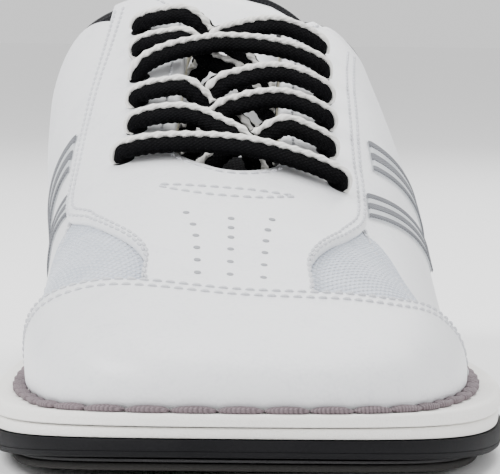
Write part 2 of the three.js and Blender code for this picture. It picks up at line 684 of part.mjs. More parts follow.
// ---- Tongue ----
const tongueFront = -45;
const tongueEnd = 82;
const tongueTopAt = (y) => laceUnder - laceDiameter / 2 - tongueClearance + tongueLift * smoothstep(y, 48 * lengthGrade, 78 * lengthGrade);
function addTongue() {
  const half = [[9, tongueFront], [11.5, -30], [12, 0], [12, 40], [12.5, 60], [12, 74], [7, tongueEnd - 1]];
  const loop = smoothLoop([...half, [0, tongueEnd], ...half.map(([x, y]) => [-x, y]).reverse()]
    .map(([x, y]) => [x + middle, y]));
  const layer = (top, thickness) => [(y) => tongueTopAt(y) - top - thickness, (y) => tongueTopAt(y) - top];
  const foamTop = tongueSkin + seam;
  const liningTop = foamTop + tongueFoam + seam;
  addNode('tongue', wrapPanel(loop, ...layer(0, tongueSkin)), finishes.whiteLeather);
  addNode('tongue_foam', wrapPanel(insetLoop(loop, 0.8), ...layer(foamTop, tongueFoam)), finishes.foam);
  addNode('tongue_lining', wrapPanel(loop, ...layer(liningTop, tongueSkin)), finishes.blackLining);
  addNode('tongue_label', wrapPanel(rectangle(-8.5, -4, 5, 15), ...layer(-seam - 0.6, 0.6)), finishes.greyTrim);
}

// ---- Lace ----
// A place on the lace: distance across from the crest line, distance along the foot, height.
function lacePoint(across, y, height) {
  const [x] = patternPoint(across, y * lengthGrade);
  return skinPoint(x, y * lengthGrade, height);
}

const laceOver = overlayHigh + laceDiameter / 2 + 0.3;
const laceUnder = liningLow - laceDiameter / 2 - 0.8;
const laceInside = liningLow + 3.5;   // within the eyelet's hole
const throatReach = 9.5;             // from the crest line to the throat's edge, over the surface
const riseAcross = throatReach * widthGrade - laceDiameter / 2 - 0.9;
// From under the eyelet of one row, through the throat and over to the next row's eyelet across.
function crossing(side, row, centreHeight) {
  const here = rowY(row) / lengthGrade;
  const next = rowY(row + 1) / lengthGrade;
  const eyelet = eyeletAcross(row);
  return [
    [side * eyelet, here, laceOver], [side * eyelet, here, laceInside],
    [side * (eyelet - 1), here + 0.6, laceUnder + 0.8], [side * 17, here + 1.5, laceUnder],
    [side * (riseAcross + 4.7), here + 3, laceUnder - 0.3], [side * riseAcross, here + 4, laceUnder + 2.4],
    [side * riseAcross / 2, here + 5.4, centreHeight - 4], [0, here + 7.6, centreHeight],
    [-side * 3.5, here + 9.6, centreHeight + 0.5], [-side * 8, here + 11.4, centreHeight + 0.6],
    [-side * 13.5, here + 13.2, laceOver + 0.8], [-side * (eyeletReach - 3), next - 0.6, laceOver + 0.2],
  ];
}

function tail(side) {
  const last = rowY(eyeletRows - 1) / lengthGrade;
  return [
    [side * eyeletReach, last, laceOver], [side * eyeletReach, last, laceInside],
    [side * (eyeletReach + 1), last - 1, laceUnder + 0.8], [side * 27, last - 6, laceUnder],
    [side * 31, last - 16, laceUnder], [side * 34, last - 28, laceUnder], [side * 36, last - 42, laceUnder],
  ];
}

function strand(side) {
  const points = [];
  let from = side;
  for (let row = 0; row < eyeletRows - 1; row++) {
    const high = (row % 2 === 0) === (side > 0);
    points.push(...crossing(from, row, high ? 7.4 : 3));
    from = -from;
  }
  return [...points, ...tail(from)].map(([across, y, height]) => lacePoint(across, y, height));
}

function roundTube(points, radius, step, sides) {
  const path = points.length > 2 ? new THREE.CatmullRomCurve3(points, false, 'centripetal')
    : new THREE.LineCurve3(...points);
  const section = new THREE.Shape(circleLoop([0, 0], radius, sides).map(([x, y]) => new THREE.Vector2(x, y)));
  const steps = Math.ceil(path.getLength() / step);
  return new THREE.ExtrudeGeometry(section, { steps, extrudePath: path, bevelEnabled: false });
}

function addLace() {
  const bar = [[-15, firstRowY + 1], [0, firstRowY + 1.5], [15, firstRowY + 1]].map(([across, y]) => lacePoint(across, y, laceOver + 0.4));
  const [left, right] = [strand(-1), strand(1)];
  const route = [...[...left].reverse(), ...bar, ...right];
  addNode('lace', roundTube(route, laceDiameter / 2, 6, 8), finishes.lace);
  for (const [name, points] of [['a', left], ['b', right]]) {
    const [end, before] = [points[points.length - 1], points[points.length - 2]];
    const along = end.clone().sub(before).normalize();
    const start = end.clone().addScaledVector(along, seam);
    const finish = start.clone().addScaledVector(along, agletLength);
    addNode(`aglet_${name}`, roundTube([start, finish], laceDiameter / 2 - 0.2, agletLength, 8),
      finishes.clearPlastic);
  }
}

addBottomPads();
addSoleLayers();
addShank();
addInsole();
addWeltSeam();
addOverlays();
addSides();
addForepart();
addHeel();
addStripes();
addTongue();
addLace();

export default shoe;
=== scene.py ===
"""A laced bowling shoe for the left foot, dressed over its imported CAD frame.

Every visible piece of the upper is a surface over the same last as the CAD pieces. A pattern point (x, y)
lies in a plan whose middle line is the crest of the foot and whose rim is the feather line; ``Last`` turns
it into a place on the foot and the outward normal there. Lengths inside the classes are millimetres, and
``Workshop`` turns them into metres when it makes a mesh.
"""
import logging
import math
from dataclasses import dataclass, field
from enum import Enum
from typing import Callable, Sequence

import bpy
import numpy as np
from mathutils import Matrix, Vector


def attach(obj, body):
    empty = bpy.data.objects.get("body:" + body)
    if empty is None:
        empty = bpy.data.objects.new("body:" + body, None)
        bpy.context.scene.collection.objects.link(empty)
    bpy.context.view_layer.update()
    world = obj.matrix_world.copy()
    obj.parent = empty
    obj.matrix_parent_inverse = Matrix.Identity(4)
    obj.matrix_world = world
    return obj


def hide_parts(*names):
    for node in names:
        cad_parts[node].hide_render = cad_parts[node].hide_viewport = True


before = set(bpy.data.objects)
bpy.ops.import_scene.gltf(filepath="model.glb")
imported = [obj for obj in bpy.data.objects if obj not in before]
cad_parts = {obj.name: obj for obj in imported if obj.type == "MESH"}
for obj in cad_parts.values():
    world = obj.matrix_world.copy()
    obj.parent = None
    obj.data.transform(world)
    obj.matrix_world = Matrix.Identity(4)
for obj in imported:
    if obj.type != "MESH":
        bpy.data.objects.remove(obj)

LOG = logging.getLogger("bowling_shoe")
MM = 0.001
TINY = 1e-9
Array = np.ndarray


# ---- Curves and numbers ----
def smoothstep(value: Array, low: float, high: float) -> Array:
    """Rises from 0 at low to 1 at high, level at both ends.

    Args:
        value: where it is read.
        low: end of the level stretch at 0.
        high: start of the level stretch at 1.

    Returns:
        3 t^2 - 2 t^3, with t the share of the way from low to high.
    """
    t = np.clip((np.asarray(value, float) - low) / (high - low), 0.0, 1.0)
    return t * t * (3.0 - 2.0 * t)


def spline_loop(points: Array, steps: int) -> Array:
    """Closed uniform cubic B-spline through a ring of control points.

    Args:
        points: control points, one row each.
        steps: samples for each control point.

    Returns:
        The samples in order, one row each.
    """
    t = (np.arange(steps) / steps)[:, None]
    blends = ((1 - t) ** 3, 3 * t ** 3 - 6 * t * t + 4, -3 * t ** 3 + 3 * t * t + 3 * t + 1, t ** 3)
    turns = [np.roll(points, 1 - k, axis=0)[:, None, :] for k in range(4)]
    return (sum(b[None] * p for b, p in zip(blends, turns)) / 6.0).reshape(-1, points.shape[1])


def unit(vectors: Array) -> Array:
    """The same directions with length 1, along the last axis."""
    return vectors / np.maximum(np.linalg.norm(vectors, axis=-1, keepdims=True), TINY)


def turn(count: int) -> Array:
    """Evenly spaced angles of one full turn, from 0."""
    return 2 * np.pi * np.arange(count) / count


def read_at(curve: Array, run: Array, wanted: Array) -> Array:
    """Rows of a curve at running lengths, where run is the running length at each of its points."""
    return np.stack([np.interp(wanted, run, curve[:, k]) for k in range(curve.shape[1])], axis=1)


def inset_loop(loop: Array, distance: Array) -> Array:
    """Moves an anticlockwise loop inwards, square to itself, by a distance at each point."""
    along = unit(np.roll(loop, -1, axis=0) - np.roll(loop, 1, axis=0))
    return loop + np.stack([-along[:, 1], along[:, 0]], axis=1) * np.asarray(distance).reshape(-1, 1)


def smooth_curve(points: Sequence[Sequence[float]], count: int) -> Array:
    """Open curve through points, evenly spaced by length.

    The curve is a Catmull-Rom spline: each span is a cubic whose end slopes are half the chord between the
    neighbours of that end.

    Args:
        points: points it passes through.
        count: samples returned.

    Returns:
        The samples, one row each.
    """
    p = np.asarray(points, float)
    p = np.vstack([2 * p[0] - p[1], p, 2 * p[-1] - p[-2]])
    t = np.linspace(0, 1, 24, endpoint=False)[:, None, None]
    a, b, c, d = p[:-3], p[1:-2], p[2:-1], p[3:]
    square, cube = 2 * a - 5 * b + 4 * c - d, 3 * b - a - 3 * c + d
    spans = 0.5 * (2 * b + (c - a) * t + square * t ** 2 + cube * t ** 3)
    fine = np.vstack([spans.transpose(1, 0, 2).reshape(-1, p.shape[1]), p[-2]])
    return resample(fine, count)


def resample(curve: Array, count: int) -> Array:
    """The same curve at evenly spaced lengths."""
    run = np.concatenate([[0.0], np.cumsum(np.linalg.norm(np.diff(curve, axis=0), axis=1))])
    return read_at(curve, run, np.linspace(0.0, run[-1], count))


def ruled(first: Array, second: Array, shares: Array) -> Array:
    """Grid of straight lines between two curves with the same number of points."""
    s = np.asarray(shares)[:, None, None]
    return first[None] * (1 - s) + second[None] * s


def coons(bottom: Array, top: Array, left: Array, right: Array) -> Array:
    """Four-sided patch: the two ruled grids between facing sides, less the bilinear grid of the corners.

    Args:
        bottom: first row of the patch, left to right.
        top: last row, left to right.
        left: first column, bottom to top.
        right: last column, bottom to top.

    Returns:
        A grid with one row for each point of left.
    """
    v = np.linspace(0, 1, len(left))[:, None, None]
    u = np.linspace(0, 1, len(bottom))[None, :, None]
    corners = ((1 - u) * (1 - v) * bottom[0] + u * (1 - v) * bottom[-1]
               + (1 - u) * v * top[0] + u * v * top[-1])
    return (1 - v) * bottom[None] + v * top[None] + (1 - u) * left[:, None] + u * right[:, None] - corners


def eased(count: int) -> Array:
    """Shares from 0 to 1 that crowd at both ends."""
    return 0.5 - 0.5 * np.cos(np.linspace(0, np.pi, count))


def grid_faces(rows: int, columns: int, closed: bool = False) -> Array:
    """Quads of a grid of vertices, anticlockwise where rows run left of columns."""
    r = np.arange(rows - 1)[:, None]
    c = np.arange(columns if closed else columns - 1)[None, :]
    n = (c + 1) % columns
    row, following = r * columns, (r + 1) * columns
    quads = np.stack([row + c, row + n, following + n, following + c], axis=-1)
    return quads.reshape(-1, 4)


def tube_faces(count: int, columns: int) -> list[Array]:
    """Quads of a stack of closed rings, and the caps of its two ends."""
    ring = np.arange(columns)
    return [grid_faces(count, columns, True), np.stack([ring[::-1], ring + (count - 1) * columns])]


def repeated(groups: Sequence[Array], vertices: int, copies: int) -> list[Array]:
    """Faces of many copies of one shape, whose vertices follow each other."""
    starts = vertices * np.arange(copies)[:, None, None]
    return [(group[None] + starts).reshape(-1, group.shape[1]) for group in groups]


def rectangle(corner: tuple[float, float], facing: tuple[float, float], across: int, along: int) -> Array:
    """Pattern grid of the rectangle between two corners, with its rows crowded at both ends."""
    (left, front), (right, back) = corner, facing
    first = np.linspace((left, front), (right, front), across)
    last = np.linspace((left, back), (right, back), across)
    return ruled(first, last, eased(along))


# ---- The last ----
SOLE_OUTLINE = np.array([
    (-7, -153.5), (19.5, -150), (40, -135), (52.5, -107), (57.3, -70), (54.5, -32), (48, 5), (41.5, 40),
    (36.5, 75), (34, 105), (29, 134), (10, 152.5), (-10, 155), (-31, 152.5), (-46, 134), (-51, 105),
    (-49.5, 75), (-48.5, 40), (-50, 5), (-54.5, -32), (-57.3, -72), (-55, -108), (-45.5, -136), (-28, -151),
], float)
CREST_LINE = np.array([
    (-175, 29), (-160, 30), (-145, 31.5), (-125, 34), (-106, 38.5), (-80, 47.2), (-41, 61), (0, 76),
    (49, 93.5), (80, 106), (110, 116), (151, 122), (175, 122),
], float)
DRAWN_LENGTH = 306.0
DRAWN_WIDTH = 112.0
MIDDLE = -4.2
HEEL_CURVE_END = 145.0


@dataclass
class Last:
    """The form the upper is pulled over, with the sole's outline and levels.

    A section of the last is a superellipse from the feather line up to the crest. It is pushed outwards
    round the ankle by ``ankle_swell``, and more on the inner side by ``ankle_lean``. Its exponent is
    ``toe_square`` at the tip of the toe and ``heel_square`` at the heel. Sections are parallel along the
    foot and fan out round both ends.
    """

    length: float
    width: float
    toe_fan: float = -66.0
    heel_fan: float = 108.0
    slab_bottom: float = 2.6
    slab_top: float = 7.6
    midsole_top: float = 10.9
    welt_top: float = 14.8
    cant: float = 0.09
    toe_spring: float = 6.0
    heel_rise: float = 9.0
    skive: float = 0.28
    toe_square: float = 3.3
    heel_square: float = 3.6
    ankle_swell: float = 12.5
    ankle_lean: float = 2.5
    samples: int = 24
    sole: Array = field(init=False)
    feather: Array = field(init=False)

    def __post_init__(self) -> None:
        """Draws the sole's outline and the feather line."""
        grade = np.array([self.width / DRAWN_WIDTH, self.length / DRAWN_LENGTH])
        self.sole = spline_loop(SOLE_OUTLINE * grade, 24)
        self.feather = inset_loop(self.sole, self.welt(self.sole[:, 1]))

    def welt(self, y: Array) -> Array:
        """Width of the ledge outside the upper: widest at the ball, less at the toe, least at the heel."""
        return 10.6 - 3.6 * smoothstep(-y, 112, 148) - 6.2 * smoothstep(y, -50, 70)

    def spine(self, y: Array) -> Array:
        """Middle line of the pattern: a slow parabola towards the inner side of the heel."""
        return MIDDLE - 0.00015 * (np.asarray(y, float) + 60) ** 2

    def stack(self, y: Array, level: float) -> Array:
        """Height of a level of the sole: its thickness skived at the toe, plus toe spring and heel rise."""
        raised = self.spring(y) + self.heel_rise * smoothstep(y, -15, 95)
        thinner = 1 - self.skive * self.toe_share(y) ** 1.5
        return self.slab_bottom + (level - self.slab_bottom) * thinner + raised

    def toe_share(self, y: Array) -> Array:
        """How far forward a place is: 0 behind the ball, and 1 near the toe tip."""
        return np.clip(-np.asarray(y, float) - 70, 0, None) / 81

    def spring(self, y: Array) -> Array:
        """How far the pads lift off the floor towards the toe tip."""
        return self.toe_spring * self.toe_share(y) ** 2

    def feather_z(self, y: Array) -> Array:
        """Height of the seat of the upper on the welt."""
        return self.stack(y, self.welt_top) + 0.3

    def crest(self, y: Array) -> Array:
        """Height of the crest: a cubic through its points, each slope the chord between the neighbours."""
        py, pz = CREST_LINE[:, 0], CREST_LINE[:, 1]
        y = np.clip(y, py[1], py[-2])
        i = np.clip(np.searchsorted(py, y, side="left") - 1, 1, len(py) - 3)
        span = py[i + 1] - py[i]
        t = (y - py[i]) / span
        leave = span * (pz[i + 1] - pz[i - 1]) / (py[i + 1] - py[i - 1])
        arrive = span * (pz[i + 2] - pz[i]) / (py[i + 2] - py[i])
        return ((2 * t ** 3 - 3 * t * t + 1) * pz[i] + (t ** 3 - 2 * t * t + t) * leave
                + (3 * t * t - 2 * t ** 3) * pz[i + 1] + (t ** 3 - t * t) * arrive)

    def rim(self, loop: Array, cx: Array, cy: Array, dx: Array, dy: Array) -> Array:
        """Distance from a section's centre to a loop, along its direction.

        Args:
            loop: outline, as points round the foot.
            cx: centre across.
            cy: centre along.
            dx: direction across.
            dy: direction along.

        Returns:
            The distance, from the outline's radius by angle in the fans and its half width between them.
        """
        out = np.empty_like(dx)
        for fan, sign, pick in ((self.toe_fan, -1, dy < -1e-9), (self.heel_fan, 1, dy > 1e-9)):
            away = loop - np.array([self.spine(fan), fan])
            angle = np.arctan2(away[:, 0], sign * away[:, 1])
            order = np.argsort(angle)
            table = angle[order], np.hypot(away[:, 0], away[:, 1])[order]
            out[pick] = np.interp(np.arctan2(dx[pick], sign * dy[pick]), *table)
        for side in (-1, 1):
            pick = (np.abs(dy) <= 1e-9) & (dx * side > 0)
            half = loop[side * (loop[:, 0] - self.spine(loop[:, 1])) > 0]
            half = half[np.argsort(half[:, 1])]
            out[pick] = side * (np.interp(cy[pick], half[:, 1], half[:, 0]) - cx[pick])
        return out

    def rays(self, x: Array, y: Array) -> tuple[Array, ...]:
        """Section that each pattern point lies on: centre, direction, rim distance and share of the rim."""
        cy = np.clip(y, self.toe_fan, self.heel_fan)
        cx = self.spine(cy)
        ax, ay = x - cx, y - cy
        reach = np.hypot(ax, ay)
        near = reach < 1e-6
        dx = np.where(near, 1.0, ax / np.maximum(reach, 1e-6))
        dy = np.where(near, 0.0, ay / np.maximum(reach, 1e-6))
        rim = self.rim(self.feather, cx, cy, dx, dy)
        return cx, cy, dx, dy, rim, np.clip(reach / rim, 0, 1)

    def section(self, ray: tuple[Array, ...], angle: Array) -> Array:
        """Point of a section at an angle, 0 at the feather line and a quarter turn at the crest.

        Args:
            ray: section, as ``rays`` gives it.
            angle: angle for each section.

        Returns:
            Points in space, last axis x, y, z.
        """
        cx, cy, dx, dy, rim = ray[:5]
        fore = 1 - smoothstep(cy, self.toe_fan, 30)
        lean = dx / (np.abs(dx) + 0.6 * np.abs(dy))
        inner, outer = 3 - 0.1 * fore, 2.5 - 0.5 * fore
        across = inner + (outer - inner) * (0.5 + 0.5 * lean)
        square = across + (np.where(dy < 0, self.toe_square, self.heel_square) - across) * dy * dy
        at = cy + np.maximum(dy, 0) * dy * rim
        along = smoothstep(at, -100, 60) * (1 - 0.6 * smoothstep(at, 95, 140))
        swell = (self.ankle_swell - self.ankle_lean * lean) * along * (1 - 0.5 * np.maximum(dy, 0))
        out = np.clip(np.cos(angle), 0, 1) ** (2 / square)
        up = np.clip(np.sin(angle), 0, 1) ** (2 / square)
        bend = np.clip(np.sin(2 * np.arctan2(up, out)), 0, 1) ** 1.1 * (1.15 - 0.75 * up)
        reach = rim * out + swell * bend
        x, y = cx + dx * reach, cy + dy * reach
        floor = self.feather_z(y)
        return np.stack([x, y, floor + (self.crest(y) - floor + self.cant * (cx - x)) * up], axis=-1)

    def girths(self, ray: tuple[Array, ...]) -> tuple[Array, Array]:
        """Running length of each section over evenly spaced angles, and those angles."""
        angles = np.linspace(0, np.pi / 2, self.samples + 1)
        wide = tuple(part[..., None] for part in ray[:5])
        points = self.section(wide, angles[(None,) * ray[0].ndim])
        steps = np.linalg.norm(np.diff(points, axis=-2), axis=-1)
        first = np.zeros(steps.shape[:-1] + (1,))
        return np.concatenate([first, np.cumsum(steps, axis=-1)], axis=-1), angles

    def place(self, x: Array, y: Array) -> Array:
        """The last's surface under pattern points; shares of the pattern are shares of the girth."""
        ray = self.rays(x, y)
        run, angles = self.girths(ray)
        wanted = (1 - ray[5]) * run[..., -1]
        i = np.clip((run < wanted[..., None]).sum(-1), 1, self.samples)
        low = np.take_along_axis(run, (i - 1)[..., None], -1)[..., 0]
        high = np.take_along_axis(run, i[..., None], -1)[..., 0]
        part = np.clip((wanted - low) / np.maximum(high - low, 1e-9), 0, 1)
        return self.section(ray, (i - 1 + part) * angles[1])

    def frame_at(self, chart: Array) -> tuple[Array, Array]:
        """Surface points and outward normals under pattern points.

        The normal is the cross product of the surface's slopes outwards and sideways in the pattern, and it
        turns level at the feather line.
        """
        x, y = chart[..., 0], chart[..., 1]
        cx, cy, dx, dy, rim, share = self.rays(x, y)
        e = 0.4
        reach = np.clip(np.hypot(x - cx, y - cy), None, rim - e)
        x, y = cx + dx * reach, cy + dy * reach
        outward = self.place(x + e * dx, y + e * dy) - self.place(x - e * dx, y - e * dy)
        sideways = self.place(x - e * dy, y + e * dx) - self.place(x + e * dy, y - e * dx)
        normal = unit(np.cross(outward, sideways))
        normal[..., 2] *= 1 - smoothstep(share, 0.9, 1.0)
        return self.place(chart[..., 0], chart[..., 1]), unit(normal)

    def across(self, distance: Array, y: Array) -> Array:
        """Pattern points at a real distance from the crest line, over the surface."""
        distance, y = np.broadcast_arrays(np.asarray(distance, float), np.asarray(y, float))
        side = np.where(distance < 0, -1.0, 1.0)
        x = self.spine(y) + side
        ray = self.rays(x, y)
        girth = self.girths(ray)[0][..., -1]
        share = np.clip(np.abs(distance) / girth, 0, 1)
        return np.stack([self.spine(y) + side * ray[4] * share, y], axis=-1)

    def rim_point(self, y: Array, side: int) -> Array:
        """Pattern points on the feather line beside the foot."""
        half = self.feather[side * (self.feather[:, 0] - self.spine(self.feather[:, 1])) > 0]
        half = half[np.argsort(half[:, 1])]
        return np.stack([np.interp(y, half[:, 1], half[:, 0]), np.asarray(y, float)], axis=-1)

    def rim_arc(self, start: Array, end: Array, count: int) -> Array:
        """Stretch of the feather line from one of its points anticlockwise to another."""
        loop = self.feather
        i, j = (int(np.argmin(np.linalg.norm(loop - p, axis=1))) for p in (start, end))
        if j <= i:
            j += len(loop)
        inside = loop[np.arange(i + 1, j) % len(loop)]
        return resample(np.vstack([start, inside, end]), count)

    def side_rim(self, front: float, side: int) -> Array:
        """Feather line of one side, from a place along the foot back to the middle of the heel."""
        rim = self.rim_point(np.linspace(front, HEEL_CURVE_END, 400), side)
        tail = np.array([self.spine(self.heel_fan), self.feather[:, 1].max()])
        arc = self.rim_arc(rim[-1], tail, 60) if side > 0 else self.rim_arc(tail, rim[-1], 60)[::-1]
        return np.vstack([rim, arc[1:]])


# ---- Finishes ----
class Texture(Enum):
    """What the surface of a material is made of."""

    GRAIN = "grain"
    WEAVE = "weave"
    NAP = "nap"
    KNIT = "knit"
    MOULDED = "moulded"
    BRUSHED = "brushed"
    TWIST = "twist"


@dataclass(frozen=True)
class Finish:
    """A procedural material: a base colour, how it varies, and the relief of its texture."""

    slot: str
    color: tuple[float, float, float]
    roughness: float
    texture: Texture
    pitch: float
    relief: float
    tint: tuple[float, float, float] | None = None
    sheen: float = 0.0
    metallic: float = 0.0
    coat: float = 0.0
    specular: float = 0.5

    def make(self) -> bpy.types.Material:
        """Builds the node tree.

        Returns:
            The material, named after its slot.
        """
        material = bpy.data.materials.new(self.slot)
        material.use_nodes = True
        tree = material.node_tree
        shader = tree.nodes["Principled BSDF"]
        for name, value in (("Metallic", self.metallic), ("Specular IOR Level", self.specular),
                            ("Sheen Weight", self.sheen), ("Sheen Roughness", 0.5),
                            ("Coat Weight", self.coat), ("Coat Roughness", 0.3)):
            shader.inputs[name].default_value = value
        place = tree.nodes.new("ShaderNodeTexCoord")
        height = self._height(tree, place)
        self._colour(tree, place, shader, height)
        bump = tree.nodes.new("ShaderNodeBump")
        bump.inputs["Strength"].default_value = 0.9
        bump.inputs["Distance"].default_value = self.relief * MM
        tree.links.new(height, bump.inputs["Height"])
        tree.links.new(bump.outputs["Normal"], shader.inputs["Normal"])
        return material

    def _node(self, tree, kind: str, vector, **values):
        """Adds a node that reads a vector, with values for its other inputs."""
        node = tree.nodes.new(f"ShaderNode{kind}")
        for name, value in values.items():
            node.inputs[name].default_value = value
        tree.links.new(vector, node.inputs["Vector"])
        return node

    def _noise(self, tree, place, size: float, detail: float):
        """Noise whose blotches are about size millimetres across."""
        noise = self._node(tree, "TexNoise", place.outputs["Object"], Scale=1.0 / (size * MM), Detail=detail,
                           Roughness=0.55)
        return noise.outputs["Fac"]

    def _math(self, tree, operation: str, first, second=None):
        """One Math node; its inputs are sockets or numbers."""
        node = tree.nodes.new("ShaderNodeMath")
        node.operation = operation
        for socket, value in zip(node.inputs, (first, second)):
            if isinstance(value, (int, float)):
                socket.default_value = value
            elif value is not None:
                tree.links.new(value, socket)
        return node.outputs["Value"]

    def _plus(self, tree, first, second, share: float):
        """The first socket plus a share of the second."""
        return self._math(tree, "ADD", first, self._math(tree, "MULTIPLY", second, share))

    def _stripes(self, tree, place, axes: str, scale: float, angle: float):
        """Sine stripes across a turned UV map, whose unit is a metre."""
        mapping = self._node(tree, "Mapping", place.outputs["UV"], Rotation=(0, 0, angle))
        wave = self._node(tree, "TexWave", mapping.outputs["Vector"], Scale=scale, Distortion=0.0)
        wave.bands_direction = axes
        return wave.outputs["Fac"]

    def _height(self, tree, place):
        """Relief of the texture, as a socket from 0 to 1."""
        fine = self._noise(tree, place, self.pitch, 3.0)
        wave_scale = math.pi / 10.0 / (self.pitch * MM)
        if self.texture is Texture.GRAIN:
            cells = self._node(tree, "TexVoronoi", place.outputs["Object"], Scale=1.0 / (self.pitch * MM))
            cells.feature = "F1"
            crease = self._math(tree, "POWER", cells.outputs["Distance"], 1.5)
            broad = self._math(tree, "MULTIPLY", self._noise(tree, place, self.pitch * 9, 4.0), 2.2)
            return self._math(tree, "SUBTRACT", broad, crease)
        if self.texture in (Texture.WEAVE, Texture.KNIT):
            angle = math.radians(45) if self.texture is Texture.WEAVE else 0.0
            first, second = (self._stripes(tree, place, axes, wave_scale, angle) for axes in "XY")
            crossed = self._math(tree, "MULTIPLY", first, second)
            return self._plus(tree, crossed, fine, 0.35)
        if self.texture is Texture.TWIST:
            return self._plus(tree, self._stripes(tree, place, "X", wave_scale, math.radians(35)), fine, 0.5)
        if self.texture is Texture.BRUSHED:
            mapping = self._node(tree, "Mapping", place.outputs["Object"], Scale=(1.0, 0.04, 1.0))
            noise = self._node(tree, "TexNoise", mapping.outputs["Vector"], Scale=1.0 / (self.pitch * MM))
            return noise.outputs["Fac"]
        if self.texture is Texture.NAP:
            return self._plus(tree, fine, self._noise(tree, place, self.pitch * 6, 5.0), 0.8)
        return fine

    def _colour(self, tree, place, shader, height) -> None:
        """Colour and roughness: the texture's hollows and broad blotches shift both a little."""
        base = (*self.color, 1.0)
        other = (*(self.tint or tuple(0.86 * c for c in self.color)), 1.0)
        broad = self._noise(tree, place, 14.0, 5.0)
        mixed = self._plus(tree, self._math(tree, "MULTIPLY", height, 0.55), broad, 0.6)
        ramp = tree.nodes.new("ShaderNodeValToRGB")
        for element, position, colour in zip(ramp.color_ramp.elements, (0.25, 0.7), (other, base)):
            element.position = position
            element.color = colour
        tree.links.new(mixed, ramp.inputs["Fac"])
        tree.links.new(ramp.outputs["Color"], shader.inputs["Base Color"])
        spread = self._math(tree, "MULTIPLY_ADD", broad, 0.16)
        spread.node.inputs[2].default_value = self.roughness - 0.08
        tree.links.new(spread, shader.inputs["Roughness"])


WHITE_LEATHER = Finish("white_leather", (0.80, 0.81, 0.83), 0.42, Texture.GRAIN, 0.9, 0.05,
                       tint=(0.74, 0.75, 0.78), coat=0.12)
WHITE_MESH = Finish("white_mesh", (0.76, 0.80, 0.87), 0.75, Texture.WEAVE, 1.4, 0.7,
                    tint=(0.40, 0.45, 0.54), sheen=0.1)
GREY_TRIM = Finish("grey_trim", (0.50, 0.52, 0.54), 0.45, Texture.GRAIN, 0.7, 0.05, tint=(0.36, 0.38, 0.41))
DARK_TRIM = Finish("grey_trim", (0.20, 0.21, 0.23), 0.6, Texture.WEAVE, 0.8, 0.15,
                   tint=(0.10, 0.10, 0.11), specular=0.12)
BLACK_LINING = Finish("black_lining", (0.020, 0.020, 0.023), 0.8, Texture.KNIT, 1.0, 0.25,
                      tint=(0.008, 0.008, 0.009), sheen=0.04, specular=0.12)
PALE_SUEDE = Finish("pale_suede", (0.87, 0.855, 0.82), 0.9, Texture.NAP, 0.45, 0.3,
                    tint=(0.74, 0.71, 0.665), sheen=0.3)
BLACK_RUBBER = Finish("black_rubber", (0.010, 0.010, 0.011), 0.65, Texture.MOULDED, 0.5, 0.06,
                      tint=(0.005, 0.005, 0.006), specular=0.08)
SLIDE_SUEDE = Finish("slide_suede", (0.030, 0.029, 0.028), 0.9, Texture.NAP, 0.5, 0.2,
                     tint=(0.012, 0.012, 0.012), sheen=0.03, specular=0.12)
HOOK_FABRIC = Finish("hook_fabric", (0.05, 0.05, 0.052), 0.85, Texture.NAP, 0.4, 0.3,
                     tint=(0.012, 0.012, 0.013), specular=0.12)
SEAM_THREAD = Finish("seam_thread", (0.17, 0.13, 0.145), 0.75, Texture.TWIST, 0.8, 0.2,
                     tint=(0.05, 0.038, 0.043), sheen=0.05)
WHITE_THREAD = Finish("white_leather", (0.60, 0.61, 0.64), 0.65, Texture.TWIST, 0.5, 0.05,
                      tint=(0.55, 0.56, 0.60))
BLACK_LACE = Finish("black_lace", (0.005, 0.005, 0.006), 0.9, Texture.WEAVE, 0.9, 0.35,
                    tint=(0.002, 0.002, 0.002), specular=0.04)
# Painted highlight: the pale ridge stands for the shine along the top of the black lace.
LACE_HIGHLIGHT = Finish("black_lace", (0.78, 0.77, 0.74), 0.8, Texture.TWIST, 0.9, 0.12, tint=(0.60, 0.59, 0.57))
FOAM = Finish("foam", (0.62, 0.58, 0.44), 0.95, Texture.NAP, 0.8, 0.3)
FOOTBED = Finish("footbed_foam", (0.045, 0.045, 0.05), 0.9, Texture.KNIT, 1.2, 0.25,
                 tint=(0.02, 0.02, 0.022), specular=0.12)
BOARD = Finish("board", (0.42, 0.31, 0.19), 0.9, Texture.NAP, 1.5, 0.1)
BACKING = Finish("backing", (0.66, 0.66, 0.64), 0.9, Texture.NAP, 0.6, 0.1)
STEEL = Finish("shank_steel", (0.55, 0.56, 0.58), 0.35, Texture.BRUSHED, 0.2, 0.03, metallic=1.0)
AGLET = Finish("aglet_plastic", (0.02, 0.02, 0.022), 0.2, Texture.MOULDED, 1.0, 0.02, coat=0.6)
# Painted shade: the dark grey of the perforation discs stands for the shade inside the punched holes.
PERFORATION_SHADE = Finish("white_leather", (0.30, 0.31, 0.33), 0.9, Texture.NAP, 0.5, 0.02, tint=(0.18, 0.18, 0.19))
# Painted shade: the near-black of the eyelet discs stands for the shade inside the holes round the lace.
EYELET_SHADE = Finish("black_lining", (0.006, 0.006, 0.007), 0.9, Texture.NAP, 0.5, 0.05, specular=0.12)


